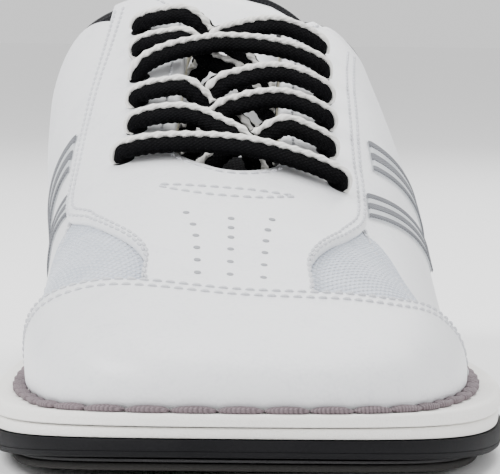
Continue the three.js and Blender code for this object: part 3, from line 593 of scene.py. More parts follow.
# ---- Making meshes ----
@dataclass
class Workshop:
    """Turns millimetre points into objects that ride on the frame's bodies.

    Pattern pieces are wrapped on ``last``, and ``unevenness`` is how far their faces wander.
    """

    last: Last
    unevenness: float = 0.09
    materials: dict[Finish, bpy.types.Material] = field(default_factory=dict)

    def material(self, finish: Finish) -> bpy.types.Material:
        """The finish's material, made once."""
        if finish not in self.materials:
            self.materials[finish] = finish.make()
        return self.materials[finish]

    def add(self, name: str, points: Array, faces: Sequence[Array], finish: Finish,
            replaces: Sequence[str] = (), body: str = "root", uv: Array | None = None) -> bpy.types.Object:
        """Makes one closed mesh, with its faces outward.

        The faces are turned over where the signed volume, a sixth of the sum over triangles of
        a . (b x c), is negative.

        Args:
            name: the object's name.
            points: vertices in millimetres, one row each.
            faces: arrays of vertex numbers, each array with one number of corners.
            finish: material.
            replaces: CAD nodes that it stands for, if not the one of its own name.
            body: the body that it rides on.
            uv: flat coordinates in millimetres for each vertex.

        Returns:
            The object.
        """
        volume = 0.0
        for group in faces:
            for k in range(1, group.shape[1] - 1):
                a, b, c = points[group[:, 0]], points[group[:, k]], points[group[:, k + 1]]
                volume += np.einsum("ij,ij->", a, np.cross(b, c)) / 6.0
        if volume < 0:
            faces = [group[:, ::-1] for group in faces]
        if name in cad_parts:
            replaces = replaces or [name]
            name = f"{name}_finished"
        mesh = bpy.data.meshes.new(name)
        mesh.from_pydata((points * MM).tolist(), [], [face for group in faces for face in group.tolist()])
        corner = np.empty(len(mesh.loops), np.int32)
        mesh.loops.foreach_get("vertex_index", corner)
        flat = points[:, :2] if uv is None else uv
        layer = mesh.uv_layers.new(name="UVMap")
        layer.data.foreach_set("uv", (flat[corner] * MM).astype(np.float32).ravel())
        mesh.polygons.foreach_set("use_smooth", np.ones(len(mesh.polygons), bool))
        mesh.materials.append(self.material(finish))
        mesh.validate()
        mesh.set_sharp_from_angle(angle=math.radians(50))
        item = bpy.data.objects.new(name, mesh)
        bpy.context.scene.collection.objects.link(item)
        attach(item, body)
        if replaces:
            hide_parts(*replaces)
        LOG.info("%s: %d faces, %.1f cm3", name, len(mesh.polygons), abs(volume) / 1000)
        return item

    def shell(self, name: str, chart: Array, low: Array | float, high: Array | float, finish: Finish,
              replaces: Sequence[str] = (), body: str = "root", round_edges: bool = True) -> bpy.types.Object:
        """A sheet wrapped on the last between two heights, with rounded edges.

        Near an edge the top sinks along a quarter circle whose radius is the sheet's thickness. The face is
        uneven by a slow product of sines of its place.

        Args:
            name: the object's name.
            chart: grid of pattern points.
            low: height of the inner face.
            high: height of the outer face.
            finish: material.
            replaces: CAD nodes that it stands for, if not the one of its own name.
            body: the body that it rides on.
            round_edges: whether the edges are rounded.

        Returns:
            The object.
        """
        rows, columns = chart.shape[:2]
        point, normal = self.last.frame_at(chart)
        down = lengths(point, 0)
        over = lengths(point, 1)
        edge = np.minimum(np.minimum(down, down[-1:] - down), np.minimum(over, over[:, -1:] - over))
        low = np.broadcast_to(np.asarray(low, float), edge.shape)
        high = np.broadcast_to(np.asarray(high, float), edge.shape)
        x, y, z = np.moveaxis(point, -1, 0)
        high = high + self.unevenness * (np.sin(x / 7.3 + 1.1) * np.sin(y / 9.1) * np.cos(z / 6.7))
        if round_edges:
            thick = high - low
            inward = 1 - np.clip(edge / np.maximum(thick, 1e-6), 0, 1)
            high = high - 0.8 * thick * (1 - np.sqrt(1 - inward ** 2))
        outer = point + normal * high[..., None]
        inner = point + normal * low[..., None]
        count = rows * columns
        numbers = np.arange(count).reshape(rows, columns)
        top = grid_faces(rows, columns)
        border = np.concatenate([numbers[0], numbers[1:, -1], numbers[-1, -2::-1], numbers[-2::-1, 0]])
        a, b = border[:-1], border[1:]
        sides = np.stack([b, a, a + count, b + count], axis=1)
        points = np.vstack([outer.reshape(-1, 3), inner.reshape(-1, 3)])
        flat = np.stack([over, down], axis=-1).reshape(-1, 2)
        return self.add(name, points, [top, top[:, ::-1] + count, sides], finish, replaces, body,
                        np.vstack([flat, flat]))

    def rings(self, name: str, stack: Array, finish: Finish, replaces: Sequence[str] = (),
              wrap: bool = False, body: str = "root") -> bpy.types.Object:
        """A solid through a stack of closed rings, capped at both ends or wrapped round on itself.

        Args:
            name: the object's name.
            stack: rings of points, all with the same count.
            finish: material.
            replaces: CAD nodes that it stands for, if not the one of its own name.
            wrap: joins the last ring to the first instead of capping.
            body: the body that it rides on.

        Returns:
            The object.
        """
        count, columns = stack.shape[:2]
        if wrap:
            stack = np.concatenate([stack, stack[:1]])
            faces = grid_faces(count + 1, columns, True) % (count * columns)
            groups = [faces]
        else:
            groups = tube_faces(count, columns)
        around = np.broadcast_to(lengths(stack[:count], 1), (count, columns))
        upward = np.broadcast_to(lengths(stack[:count], 0), (count, columns))
        flat = np.stack([around, upward], axis=-1).reshape(-1, 2)
        return self.add(name, stack[:count].reshape(-1, 3), groups, finish, replaces, body, flat)

    def strip(self, name: str, path: Array, normal: Array, section: Callable[[Array], Array], finish: Finish,
              replaces: Sequence[str] = (), body: str = "root") -> bpy.types.Object:
        """A closed strip along a path.

        Args:
            name: the object's name.
            path: centreline points.
            normal: which way the strip faces at each point.
            section: gives, for running lengths, a ring of (across, up) offsets at each of them.
            finish: material.
            replaces: CAD nodes that it stands for, if not the one of its own name.
            body: the body that it rides on.

        Returns:
            The object.
        """
        along = unit(np.gradient(path, axis=0))
        across = unit(np.cross(along, normal))
        up = np.cross(across, along)
        run = lengths(path, 0)
        ring = section(run)
        stack = path[:, None] + across[:, None] * ring[..., :1] + up[:, None] * ring[..., 1:]
        sides = ring.shape[1]
        girth = np.linalg.norm(np.diff(ring[len(ring) // 2], axis=0), axis=1).sum()
        perimeter = np.linspace(0, girth, sides)
        flat = np.stack(np.broadcast_arrays(perimeter[None, :], run[:, None]), axis=-1).reshape(-1, 2)
        groups = tube_faces(len(path), sides)
        return self.add(name, stack.reshape(-1, 3), groups, finish, replaces, body, flat)

    def beads(self, name: str, centres: Array, along: Array, up: Array, length: float, radius: float,
              finish: Finish, replaces: Sequence[str] = (), body: str = "root", sides: int = 6,
              offsets: Sequence[float] = (0.0,), pinch: float = 0.0) -> bpy.types.Object:
        """Many small spindles, such as stitches.

        Args:
            name: the object's name.
            centres: middle of each.
            along: direction of each.
            up: outward direction of each.
            length: of one.
            radius: at its middle.
            finish: material.
            replaces: CAD nodes that they stand for, if not the one of their own name.
            body: the body that they ride on.
            sides: faces round each.
            offsets: sideways places of the strands of one stitch.
            pinch: share by which the strands gather at the ends.

        Returns:
            One object with all of them.
        """
        along = unit(along)
        across = unit(np.cross(up, along))
        up = np.cross(along, across)
        share = np.array([-1.0, -0.92, -0.6, 0.0, 0.6, 0.92, 1.0])
        width = np.sqrt(np.clip(1 - np.abs(share) ** 3.2, 0.03, 1))
        angle = turn(sides)
        rows = []
        for offset in offsets:
            lateral = (width[:, None] * radius * np.cos(angle)[None]
                       + offset * (1 - pinch * share[:, None] ** 4))
            rise = width[:, None] * radius * np.sin(angle)[None] + radius * 0.35 * (1 - share[:, None] ** 2)
            ahead = np.broadcast_to(share[:, None] * length / 2, lateral.shape)
            rows.append(np.stack([ahead, lateral, rise], axis=-1))
        shape = np.stack(rows)
        local = shape.reshape(-1, 3)
        basis = np.stack([along, across, up], axis=1)
        points = centres[:, None] + np.einsum("kj,njl->nkl", local, basis)
        stations = len(share)
        faces = repeated(tube_faces(stations, sides), stations * sides, len(centres) * len(offsets))
        flat = np.tile(shape[..., :2].reshape(-1, 2), (len(centres), 1))
        return self.add(name, points.reshape(-1, 3), faces, finish, replaces, body, flat)


def lengths(points: Array, axis: int) -> Array:
    """Running length along one axis of a grid of points, starting at 0."""
    steps = np.linalg.norm(np.diff(points, axis=axis), axis=-1)
    first = np.zeros_like(np.take(steps, [0], axis=axis))
    return np.concatenate([first, np.cumsum(steps, axis=axis)], axis=axis)


def at_length(curve: Array, wanted: Array) -> tuple[Array, Array]:
    """Points and directions of a curve at running lengths."""
    run = lengths(curve, 0)
    step = 0.4
    ahead, behind = (read_at(curve, run, wanted + shift) for shift in (step, -step))
    return read_at(curve, run, wanted), ahead - behind


def beside(last: Last, chart: Array, distance: float) -> Array:
    """Pattern curve at a real distance from the first row of a pattern grid."""
    run = lengths(last.place(chart[..., 0], chart[..., 1]), 0)
    i = np.clip((run < distance).sum(0), 1, len(chart) - 1)
    columns = np.arange(chart.shape[1])
    low, high = run[i - 1, columns], run[i, columns]
    part = np.clip((distance - low) / np.maximum(high - low, 1e-9), 0, 1)[:, None]
    return chart[i - 1, columns] * (1 - part) + chart[i, columns] * part


@dataclass
class Thread:
    """Rows of small stitches on the upper, gathered into one object."""

    shop: Workshop
    pitch: float = 2.8
    length: float = 2.05
    radius: float = 0.38
    rows: list[tuple[Array, Array, Array]] = field(default_factory=list)

    def sew(self, chart: Array, height: float) -> None:
        """Adds a row of stitches along a pattern curve at a height above the last."""
        point, normal = self.shop.last.frame_at(resample(chart, 160))
        curve = point + normal * height
        run = lengths(curve, 0)
        wanted = np.arange(self.pitch, run[-1] - self.pitch / 2, self.pitch)
        centre, along = at_length(curve, wanted)
        up = read_at(normal, run, wanted)
        self.rows.append((centre, along, up))

    def make(self, name: str, finish: Finish) -> bpy.types.Object:
        """Makes the object that holds every row."""
        centre, along, up = (np.vstack([row[k] for row in self.rows]) for k in range(3))
        return self.shop.beads(name, centre, along, up, self.length, self.radius, finish, sides=5)


# ---- The sole ----
@dataclass
class SoleUnit:
    """Pads, outsole, midsole, welt with its seam, and what lies inside."""

    shop: Workshop
    pad_inset: float = 5.0
    pad_thickness: float = 1.4
    hook_thickness: float = 0.6
    gap: float = 0.3
    forepart_end: float = 8.0
    heel_start: float = 54.0
    stitch_pitch: float = 9.4
    stitch_length: float = 9.2
    strand_radius: float = 0.72
    seam_reach: float = 4.1

    def build(self) -> None:
        """Makes every piece of the sole."""
        last = self.shop.last
        outline = resample(np.vstack([last.sole, last.sole[:1]]), 480)[:-1]
        bottom, top = last.slab_bottom, last.slab_top
        wall = ((1.5, bottom), (0.7, bottom + 0.15), (0.2, bottom + 0.55), (0.0, bottom + 1.2),
                (0.0, bottom + 1.6), (0.12, bottom + 1.7), (0.0, bottom + 1.8), (0.0, top - 0.3), (0.2, top))
        self.plate("outsole", outline, wall, BLACK_RUBBER)
        low, high = top + self.gap, last.midsole_top
        self.plate("midsole", outline, self.wall(low, high, 0.35), PALE_SUEDE)
        self.welt(outline)
        for name, start, end, finish in (("slide_sole_pad", -170, self.forepart_end, SLIDE_SUEDE),
                                         ("heel_brake_pad", self.heel_start, 170, BLACK_RUBBER)):
            self.pad(name, outline, start, end, finish)
        block = self.cut(inset_loop(outline, 0.4), self.heel_start - 2, 170)
        self.solid("heel_block", block, lambda y: np.full_like(y, bottom),
                   lambda y: last.stack(y, bottom) - self.gap, BLACK_RUBBER, 0.6)
        self.seam()

    @staticmethod
    def wall(low: float, high: float, bulge: float) -> tuple[tuple[float, float], ...]:
        """Profile of an edge that is slightly rounded: pairs of inset and level, bottom to top."""
        return ((0.75 + bulge, low), (0.45 + bulge, low + 0.12), (0.6, (low + high) / 2),
                (0.6 + bulge * 0.4, high - 0.4), (0.75 + bulge, high - 0.1), (1.3 + bulge, high))

    def plate(self, name: str, outline: Array, profile: Sequence[tuple[float, float]],
              finish: Finish) -> None:
        """A layer of the sole: rings from the middle of its underside, over its edge, to that of its top."""
        last = self.shop.last
        rings = []
        inward = (0.05, 0.5, 0.9)
        bottom = [(share, profile[0]) for share in inward]
        top = [(share, profile[-1]) for share in inward[::-1]]
        for share, (inset, level) in [*bottom, *((1.0, place) for place in profile), *top]:
            loop = inset_loop(outline, inset)
            middle = np.clip(loop[:, 1], -95, 95)
            centre = np.stack([last.spine(middle), middle], axis=1)
            flat = centre + (loop - centre) * share
            rings.append(np.column_stack([flat, last.stack(flat[:, 1], level)]))
        self.shop.rings(name, np.stack(rings), finish)

    def welt(self, outline: Array) -> None:
        """The ledge that carries the seam: a ring, bevelled at its outer top edge."""
        last = self.shop.last
        low, high = last.midsole_top + self.gap, last.welt_top
        section = ((14.0, low), (0.7, low), (0.3, low + 0.3), (0.2, (low + high) / 2), (0.35, high - 0.8),
                   (0.9, high - 0.25), (1.7, high), (2.6, high - 0.12), (3.4, high), (14.0, high))
        rings = []
        for inset, level in section:
            loop = inset_loop(outline, inset)
            rings.append(np.column_stack([loop, last.stack(loop[:, 1], level)]))
        self.shop.rings("welt", np.stack(rings), PALE_SUEDE, wrap=True)

    def cut(self, loop: Array, start: float, end: float) -> Array:
        """Part of an outline between two distances along the foot, closed by straight edges."""
        keep = (loop[:, 1] > start) & (loop[:, 1] < end)
        first = int(np.argmax(keep & ~np.roll(keep, 1)))
        part = np.roll(loop, -first, axis=0)[:int(keep.sum())]
        return resample(np.vstack([part, part[:1]]), 400)[:-1]

    def pad(self, name: str, outline: Array, start: float, end: float, finish: Finish) -> None:
        """A pad that meets the lane, and the hook sheet over it."""
        last = self.shop.last
        hooks = name.replace("_pad", "_hook_sheet")
        top = self.pad_thickness
        edge = self.cut(inset_loop(outline, self.pad_inset), start, end)
        self.solid(name, edge, last.spring, lambda y: last.spring(y) + top, finish, 0.35)
        edge = self.cut(inset_loop(outline, self.pad_inset + 0.5), start, end)
        low = top + self.gap
        self.solid(hooks, edge, lambda y: last.spring(y) + low,
                   lambda y: last.spring(y) + low + self.hook_thickness, HOOK_FABRIC, 0.1)

    def solid(self, name: str, loop: Array, low: Callable[[Array], Array], high: Callable[[Array], Array],
              finish: Finish, bevel: float) -> None:
        """A plate between two surfaces, with bevelled edges."""
        centre = loop.mean(axis=0)
        middle = np.column_stack([np.full(len(loop), centre[0]),
                                  centre[1] + 0.75 * (loop[:, 1] - centre[1])])
        inner = inset_loop(loop, bevel)
        rings = []
        inward = (0.05, 0.6, 1)
        for share, ring, level in (*((s, inner, 0) for s in inward), (1, loop, 1), (1, loop, 2),
                                   *((s, inner, 3) for s in inward[::-1])):
            flat = middle + (ring - middle) * share
            bottom, top = low(flat[:, 1]), high(flat[:, 1])
            step = np.minimum(bevel, 0.4 * (top - bottom))
            z = (bottom, bottom + step, top - step, top)[level]
            rings.append(np.column_stack([flat, z]))
        self.shop.rings(name, np.stack(rings), finish)

    def seam(self) -> None:
        """The welt seam: long stitches of four strands, gathered where they go down through the welt."""
        last = self.shop.last
        feather = resample(np.vstack([last.feather, last.feather[:1]]), 900)
        loop = inset_loop(feather[:-1], -self.seam_reach)
        loop = np.vstack([loop, loop[:1]])
        curve = np.column_stack([loop, last.stack(loop[:, 1], last.welt_top) + self.strand_radius * 0.7])
        total = lengths(curve, 0)[-1]
        count = round(total / self.stitch_pitch)
        wanted = (np.arange(count) + 0.5) * total / count
        centre, along = at_length(curve, wanted)
        up = np.tile([0.0, 0.0, 1.0], (count, 1))
        spread = self.strand_radius * 1.15
        strands = (-spread * 1.15, -0.38 * spread, 0.38 * spread, spread * 1.15)
        self.shop.beads("welt_seam", centre, along, up, self.stitch_length, self.strand_radius, SEAM_THREAD,
                        sides=7, offsets=strands, pinch=0.75)


# ---- The upper ----
def mirrored(points: Sequence[Sequence[float]]) -> list[tuple[float, float]]:
    """Pattern points on the other side of the middle line, in the same order."""
    return [(2 * MIDDLE - x, y) for x, y in points]


THROAT_MEDIAL = [(-12.6, 61.0), (-9.4, 46.0), (-9.4, 25.0), (-9.8, 0.0), (-10.4, -18.0), (-11.2, -34.0),
                 (-9.6, -42.0), (MIDDLE, -46.5)]
THROAT_LATERAL = [(MIDDLE, -46.5), (1.2, -42.0), (2.8, -34.0), (2.0, -18.0), (1.2, 0.0), (0.6, 25.0),
                  (0.4, 46.0), (2.4, 61.0)]
VAMP_LATERAL = [(MIDDLE, -107.4), (5.0, -106.6), (11.8, -105.0), (11.2, -91.0), (11.9, -82.0), (13.7, -72.0),
                (16.0, -63.0), (17.5, -54.0), (17.2, -44.0), (16.0, -34.0), (14.0, -19.0), (12.0, 0.0),
                (10.0, 25.0), (9.0, 45.0), (8.4, 63.0)]
CAP_EDGE = [(-46.0, -67.3), (-38.5, -78.0), (-30.0, -93.5), (-20.0, -102.8), (MIDDLE, -106.2), (12.0, -102.8),
            (23.5, -93.5), (31.5, -80.5), (40.0, -69.0), (47.2, -64.0)]
TOPLINE_LATERAL = [(0.6, 25.0), (0.0, 46.0), (0.2, 57.0), (3.5, 67.0), (8.0, 80.0), (10.5, 94.0),
                   (9.5, 108.0), (5.5, 119.0), (-1.0, 126.5), (-8.4, 128.9)]
TOPLINE_MEDIAL = [(-9.4, 25.0), (-9.4, 46.0), (-12.4, 57.0), (-19.5, 67.0), (-27.5, 79.0), (-31.0, 93.0),
                  (-30.0, 108.0), (-25.0, 119.0), (-17.0, 126.5), (-8.4, 128.9)]


@dataclass
class Upper:
    """Toe cap, vamp with eyestays, mesh windows, quarters, heel and stripes."""

    shop: Workshop
    overlay: tuple[float, float] = (0.35, 1.95)
    cap: tuple[float, float] = (0.9, 2.85)
    quarter: tuple[float, float] = (-1.1, 0.15)
    stripe: tuple[float, float] = (0.1, 0.75)
    stripe_edge: tuple[float, float] = (0.6, 0.95)
    mesh_puff: float = 0.9
    mesh_thickness: float = 0.9
    piping: float = 0.3
    cap_rows: tuple[float, float] = (1.6, 4.4)
    eyestay_rows: tuple[float, float] = (1.5, 3.7)
    throat_row: float = 3.0
    foxing_rows: tuple[float, float] = (1.5, 3.6)
    topline_row: float = 1.9
    thread_rise: float = 0.02
    hole_rows: int = 6
    first_hole: float = -70.8
    hole_pitch: float = 5.7
    hole_radius: float = 0.75
    eyelet_rows: int = 6
    eyelet_radius: float = 2.6
    first_row: float = -40.0
    row_pitch: float = 15.6
    eyelet_reach: float = 22.0
    first_reach: float = 24.5

    def build(self) -> None:
        """Makes every piece of the outer upper."""
        self.thread = Thread(self.shop)
        self.toe_cap()
        self.vamp()
        for side, name in ((1, "lateral"), (-1, "medial")):
            self.window(side, name)
            self.sides(side, name)
            self.stripes(side, name)
        self.heel()
        self.thread.make("upper_stitching", WHITE_THREAD)

    def flip(self, points: Sequence[Sequence[float]], side: int) -> list[tuple[float, float]]:
        """Outer-side points, or their mirror images for the inner side."""
        return list(map(tuple, points)) if side > 0 else mirrored(points)

    def toe_cap(self) -> None:
        """The cap: from its scalloped edge over the vamp down to the welt."""
        last = self.shop.last
        back = smooth_curve(CAP_EDGE, 260)
        start, end = last.rim_point(-69.0, -1), last.rim_point(-66.0, 1)
        rim = last.rim_arc(start, end, 260)
        back[0], back[-1] = last.rim_point(-66.8, -1), last.rim_point(-63.8, 1)
        chart = ruled(back, rim, eased(60))
        self.shop.shell("toe_cap", chart, *self.cap, WHITE_LEATHER)
        for distance in self.cap_rows:
            self.thread.sew(beside(last, chart, distance)[6:-6], self.cap[1] + self.thread_rise)

    def vamp(self) -> None:
        """The tall tongue-shaped vamp with the eyestays: a U between the throat and its own outer edge."""
        last = self.shop.last
        inner_curve = smooth_curve(THROAT_MEDIAL + THROAT_LATERAL[1:], 1200)
        outer_curve = smooth_curve([*mirrored(VAMP_LATERAL)[::-1], *VAMP_LATERAL[1:]], 1600)
        marks_in = [THROAT_MEDIAL[0], (-11.0, -30.0), (-9.6, -42.0), (MIDDLE, -46.5), (1.2, -42.0),
                    (2.6, -30.0), THROAT_LATERAL[-1]]
        turns = [(11.8, -105.0), (17.2, -44.0), VAMP_LATERAL[-1]]
        marks_out = [*mirrored(turns)[::-1], (MIDDLE, -107.4), *turns]
        counts = (130, 70, 40, 40, 70, 130)
        inner = matched(inner_curve, marks_in, counts)
        outer = matched(outer_curve, marks_out, counts)
        chart = ruled(inner, outer, eased(56))
        self.shop.shell("vamp_eyestay", chart, *self.overlay, WHITE_LEATHER)
        high = self.overlay[1] + self.thread_rise
        for distance in self.eyestay_rows:
            line = beside(last, chart[::-1], distance)
            self.thread.sew(line[4:202], high)
            self.thread.sew(line[278:-4], high)
        self.thread.sew(beside(last, chart, self.throat_row)[3:-3], high)
        tips = (-14.4, -57.6), (6.2, -55.0)
        for bow in ([(-11.0, -57.9), (-8.0, -58.0), (-3.5, -57.6), (2.0, -56.5)],
                    [(-11.5, -60.4), (-8.0, -61.9), (-4.2, -62.0), (0.5, -60.4)]):
            self.thread.sew(smooth_curve([tips[0], *bow, tips[1]], 60), high)
        self.punch(chart)

    def punch(self, chart: Array) -> None:
        """Perforations over the toes, and the eyelets, as dark discs whose colour is painted shade standing
        for the inside of the holes.
        """
        last = self.shop.last
        rows = np.arange(self.hole_rows)
        column = np.stack([-11.2 + 0.12 * rows, np.full(len(rows), MIDDLE - 0.1), 2.9 - 0.12 * rows], axis=1)
        row = np.broadcast_to((self.first_hole - self.hole_pitch * rows)[:, None], column.shape)
        centres = np.stack([column, row], axis=-1).reshape(-1, 2)
        self.holes("perforations", centres, self.hole_radius, PERFORATION_SHADE)
        y = self.first_row + self.row_pitch * np.arange(self.eyelet_rows)
        reach = np.where(np.arange(self.eyelet_rows) == 0, self.first_reach, self.eyelet_reach)
        centres = np.vstack([last.across(reach, y), last.across(-reach, y)])
        self.holes("eyelets", centres, self.eyelet_radius, EYELET_SHADE)

    def holes(self, name: str, centres: Array, radius: float, finish: Finish) -> None:
        """Round recesses: a dark disc with a turned-in rim, square to the surface at each centre, its dark
        colour painted shade for the inside of a hole.
        """
        point, normal = self.shop.last.frame_at(centres)
        sideways = unit(np.cross(normal, np.array([0.0, 1.0, 0.0])))
        ahead = np.cross(sideways, normal)
        sides = 16
        angle = turn(sides)
        face = self.overlay[1] + self.shop.unevenness
        rings = [(0.05, -0.7), (1.0, -0.7), (1.0, 0.03), (0.92, 0.06), (0.05, 0.02)]
        local = np.stack([np.stack([r * radius * np.cos(angle), r * radius * np.sin(angle),
                                    np.full(sides, face + h)], axis=1) for r, h in rings])
        basis = np.stack([sideways, ahead, normal], axis=1)
        points = point[:, None] + np.einsum("kj,njl->nkl", local.reshape(-1, 3), basis)
        faces = repeated(tube_faces(len(rings), sides), len(rings) * sides, len(centres))
        self.shop.add(name, points.reshape(-1, 3), faces, finish)

    def window(self, side: int, name: str) -> None:
        """The mesh beside the vamp, which puffs out a little between its edges."""
        rows, columns = 60, 70
        across = np.linspace(0, 1, rows)
        under_vamp = [(9.0, -108.5), (8.6, -92), (9.3, -81), (11, -70), (13.2, -60), (14.6, -50)]
        under_quarter = [(36, -100.0), (40, -88), (38, -76), (32, -66), (27, -56), (22, -46)]
        near, far = (smooth_curve(self.flip(points, side), columns) for points in (under_vamp, under_quarter))
        chart = ruled(near, far, across)
        along = np.linspace(0, 1, columns)[None]
        bulge = np.sin(np.pi * np.clip(across[:, None] * 1.15, 0, 1)) * np.sin(np.pi * along)
        high = -0.15 + self.mesh_puff * bulge
        self.shop.shell(f"mesh_panel_{name}", chart, high - self.mesh_thickness, high, WHITE_MESH,
                        round_edges=False)

    def sides(self, side: int, name: str) -> None:
        """A quarter: from its swept front edge to the middle of the heel, topline to welt."""
        last = self.shop.last
        start = -70.0
        front = self.flip([(14.2, -46), (17.6, -53), (20.4, -64), (26, -74), (30.6, -85), (36, -80.5),
                           (43.0, -75.0)], side)
        front_curve = smooth_curve([*front, tuple(last.rim_point(start, side))], 70)
        inner_points = self.flip([(14.2, -46), (14.2, -34), (12.2, -19), (10.2, 0), (8.2, 25), (6.2, 45)],
                                 side)
        top = TOPLINE_LATERAL if side > 0 else TOPLINE_MEDIAL
        inner_curve = smooth_curve([*inner_points, *top[3:]], 1200)
        rim_curve = last.side_rim(start, side)
        marks_in = [inner_curve[0], inner_points[3], top[4], top[6], inner_curve[-1]]
        marks_out = [rim_curve[0], *(last.rim_point(y, side) for y in (0.0, 80.0, 112.0)), rim_curve[-1]]
        counts = (70, 90, 50, 60)
        left = matched(inner_curve, marks_in, counts)
        right = matched(rim_curve, marks_out, counts)
        end = ruled(left[-1:], right[-1:], np.linspace(0, 1, 70))[:, 0]
        chart = coons(front_curve, end, left, right)
        self.shop.shell(f"quarter_{name}", chart, *self.quarter, WHITE_LEATHER)
        self.thread.sew(beside(last, chart, self.topline_row)[2:-2], self.quarter[1] + 0.05)
        point, normal = last.frame_at(resample(front_curve[4:-1], 160))
        path = point + normal * (self.quarter[1] - 0.25)
        self.shop.strip(f"quarter_piping_{name}", path, normal, oval(self.piping, self.piping, 10), DARK_TRIM)

    def stripes(self, side: int, name: str) -> None:
        """Two slanting groups of stripes: a light band between two darker edges."""
        for place, corners in (("upper", [(13.2, 4), (15.5, -12), (29, 14), (28, 30)]),
                               ("lower", [(16.0, -30), (17.8, -43), (31, -16), (30, -2)])):
            a, b, c, d = (np.array(p, float) for p in self.flip(corners, side))
            chart = ruled(np.linspace(a, d, 60), np.linspace(b, c, 60), eased(24))
            self.shop.shell(f"side_stripe_{name}_{place}", chart, *self.stripe, GREY_TRIM)
            for low, high, part in ((0.0, 0.2, "front"), (0.4, 0.64, "middle"), (0.84, 1.0, "back")):
                band = ruled(*ruled(chart[0], chart[-1], (low, high)), eased(8))
                self.shop.shell(f"stripe_edge_{name}_{place}_{part}", band, *self.stripe_edge, DARK_TRIM)

    def heel(self) -> None:
        """The foxing round the heel and the tab over the back of the topline."""
        last = self.shop.last
        points = [(34.5, 103), (24, 112), (12, 126), (2.5, 133.4), (-7.4, 135.9), (-17.4, 133.4), (-27, 126),
                  (-39, 112), (-49.0, 103)]
        top = smooth_curve(points, 180)
        start, end = last.rim_point(104.0, 1), last.rim_point(104.0, -1)
        rim = last.rim_arc(start, end, 180)
        top[0], top[-1] = last.rim_point(101.5, 1), last.rim_point(101.5, -1)
        chart = ruled(top, rim, eased(40))
        self.shop.shell("heel_foxing", chart, *self.overlay, WHITE_LEATHER)
        for distance in self.foxing_rows:
            self.thread.sew(beside(last, chart, distance)[5:-5], self.overlay[1] + self.thread_rise)
        tab = rectangle((-12.0, 130.4), (-3.0, 135.2), 30, 20)
        self.shop.shell("heel_tab", tab, *self.overlay, GREY_TRIM)


def oval(wide: float, tall: float, sides: int) -> Callable[[Array], Array]:
    """Section of an even cord or tape for ``Workshop.strip``: an ellipse with these half axes."""
    angle = turn(sides)
    ring = np.stack([wide * np.cos(angle), tall * np.sin(angle)], axis=1)
    return lambda length: np.broadcast_to(ring, (len(length), sides, 2))


def matched(curve: Array, marks: Sequence[Sequence[float]], counts: Sequence[int]) -> Array:
    """A curve sampled so that given places on it fall on given samples.

    Args:
        curve: dense curve.
        marks: places on it, first and last its ends.
        counts: steps between neighbouring marks.

    Returns:
        The samples.
    """
    marks = np.asarray(marks, float)
    found = [int(np.argmin(np.linalg.norm(curve - mark, axis=1))) for mark in marks]
    found[0], found[-1] = 0, len(curve) - 1
    parts = [resample(curve[a:b + 1], n + 1)[:-1] for a, b, n in zip(found[:-1], found[1:], counts)]
    return np.vstack([*parts, curve[-1:]])


# ---- Lining and collar ----
@dataclass
class Lining:
    """Black lining inside the upper, and the padded roll round the topline."""

    shop: Workshop
    layer: tuple[float, float] = (-5.0, -3.75)
    front: float = -48.0
    split: int = 165
    roll_sides: int = 28
    roll_wide: float = 2.5
    roll_tall: float = 2.35
    roll_taper: float = 34.0

    def build(self) -> None:
        """Makes the lining pieces and the collar."""
        last = self.shop.last
        lateral = THROAT_LATERAL[:-1] + TOPLINE_LATERAL[2:]
        medial = THROAT_MEDIAL[:0:-1] + TOPLINE_MEDIAL[2:]
        for side, points, name in ((1, lateral, "lateral"), (-1, medial, "medial")):
            rim = last.side_rim(self.front, side)
            inner = resample(smooth_curve(points, 900), 220)
            outer = matched(rim, [rim[0], last.rim_point(80.0, side), rim[-1]], (140, 79))
            chart = ruled(inner, outer, eased(30))
            fore, rear = chart[:, :self.split], chart[:, self.split - 1:]
            self.shop.shell(f"quarter_lining_{name}", fore, *self.layer, BLACK_LINING)
            self.shop.shell(f"heel_lining_{name}", rear, *self.layer, BLACK_LINING, ["heel_lining"])
        self.collar(smooth_curve(TOPLINE_LATERAL[1:] + TOPLINE_MEDIAL[-2:0:-1], 420))

    def collar(self, path: Array) -> None:
        """Padded roll along the topline: a soft tube, thin at its two ends and full round the ankle.

        Its section is an ellipse; small dimples follow the product of two slow sine waves.
        """
        last = self.shop.last
        point, normal = last.frame_at(path)
        centre = point - normal * self.roll_tall
        run = lengths(centre, 0)
        ends = smoothstep(np.minimum(run, run[-1] - run), 0.0, self.roll_taper)

        def section(length: Array) -> Array:
            """Ring of the roll at each running length."""
            angle = turn(self.roll_sides)
            slow, quick = length[:, None] / 11.0, length[:, None] / 5.3
            dimple = 1 + 0.05 * np.sin(quick) * np.sin(3 * angle[None] + slow)
            size = (0.45 + 0.55 * ends)[:, None] * dimple
            return np.stack([size * self.roll_wide * np.cos(angle), size * self.roll_tall * np.sin(angle)],
                            axis=-1)

        roll = self.shop.strip("collar_roll", centre, normal, section, BLACK_LINING, ["collar_padding"])


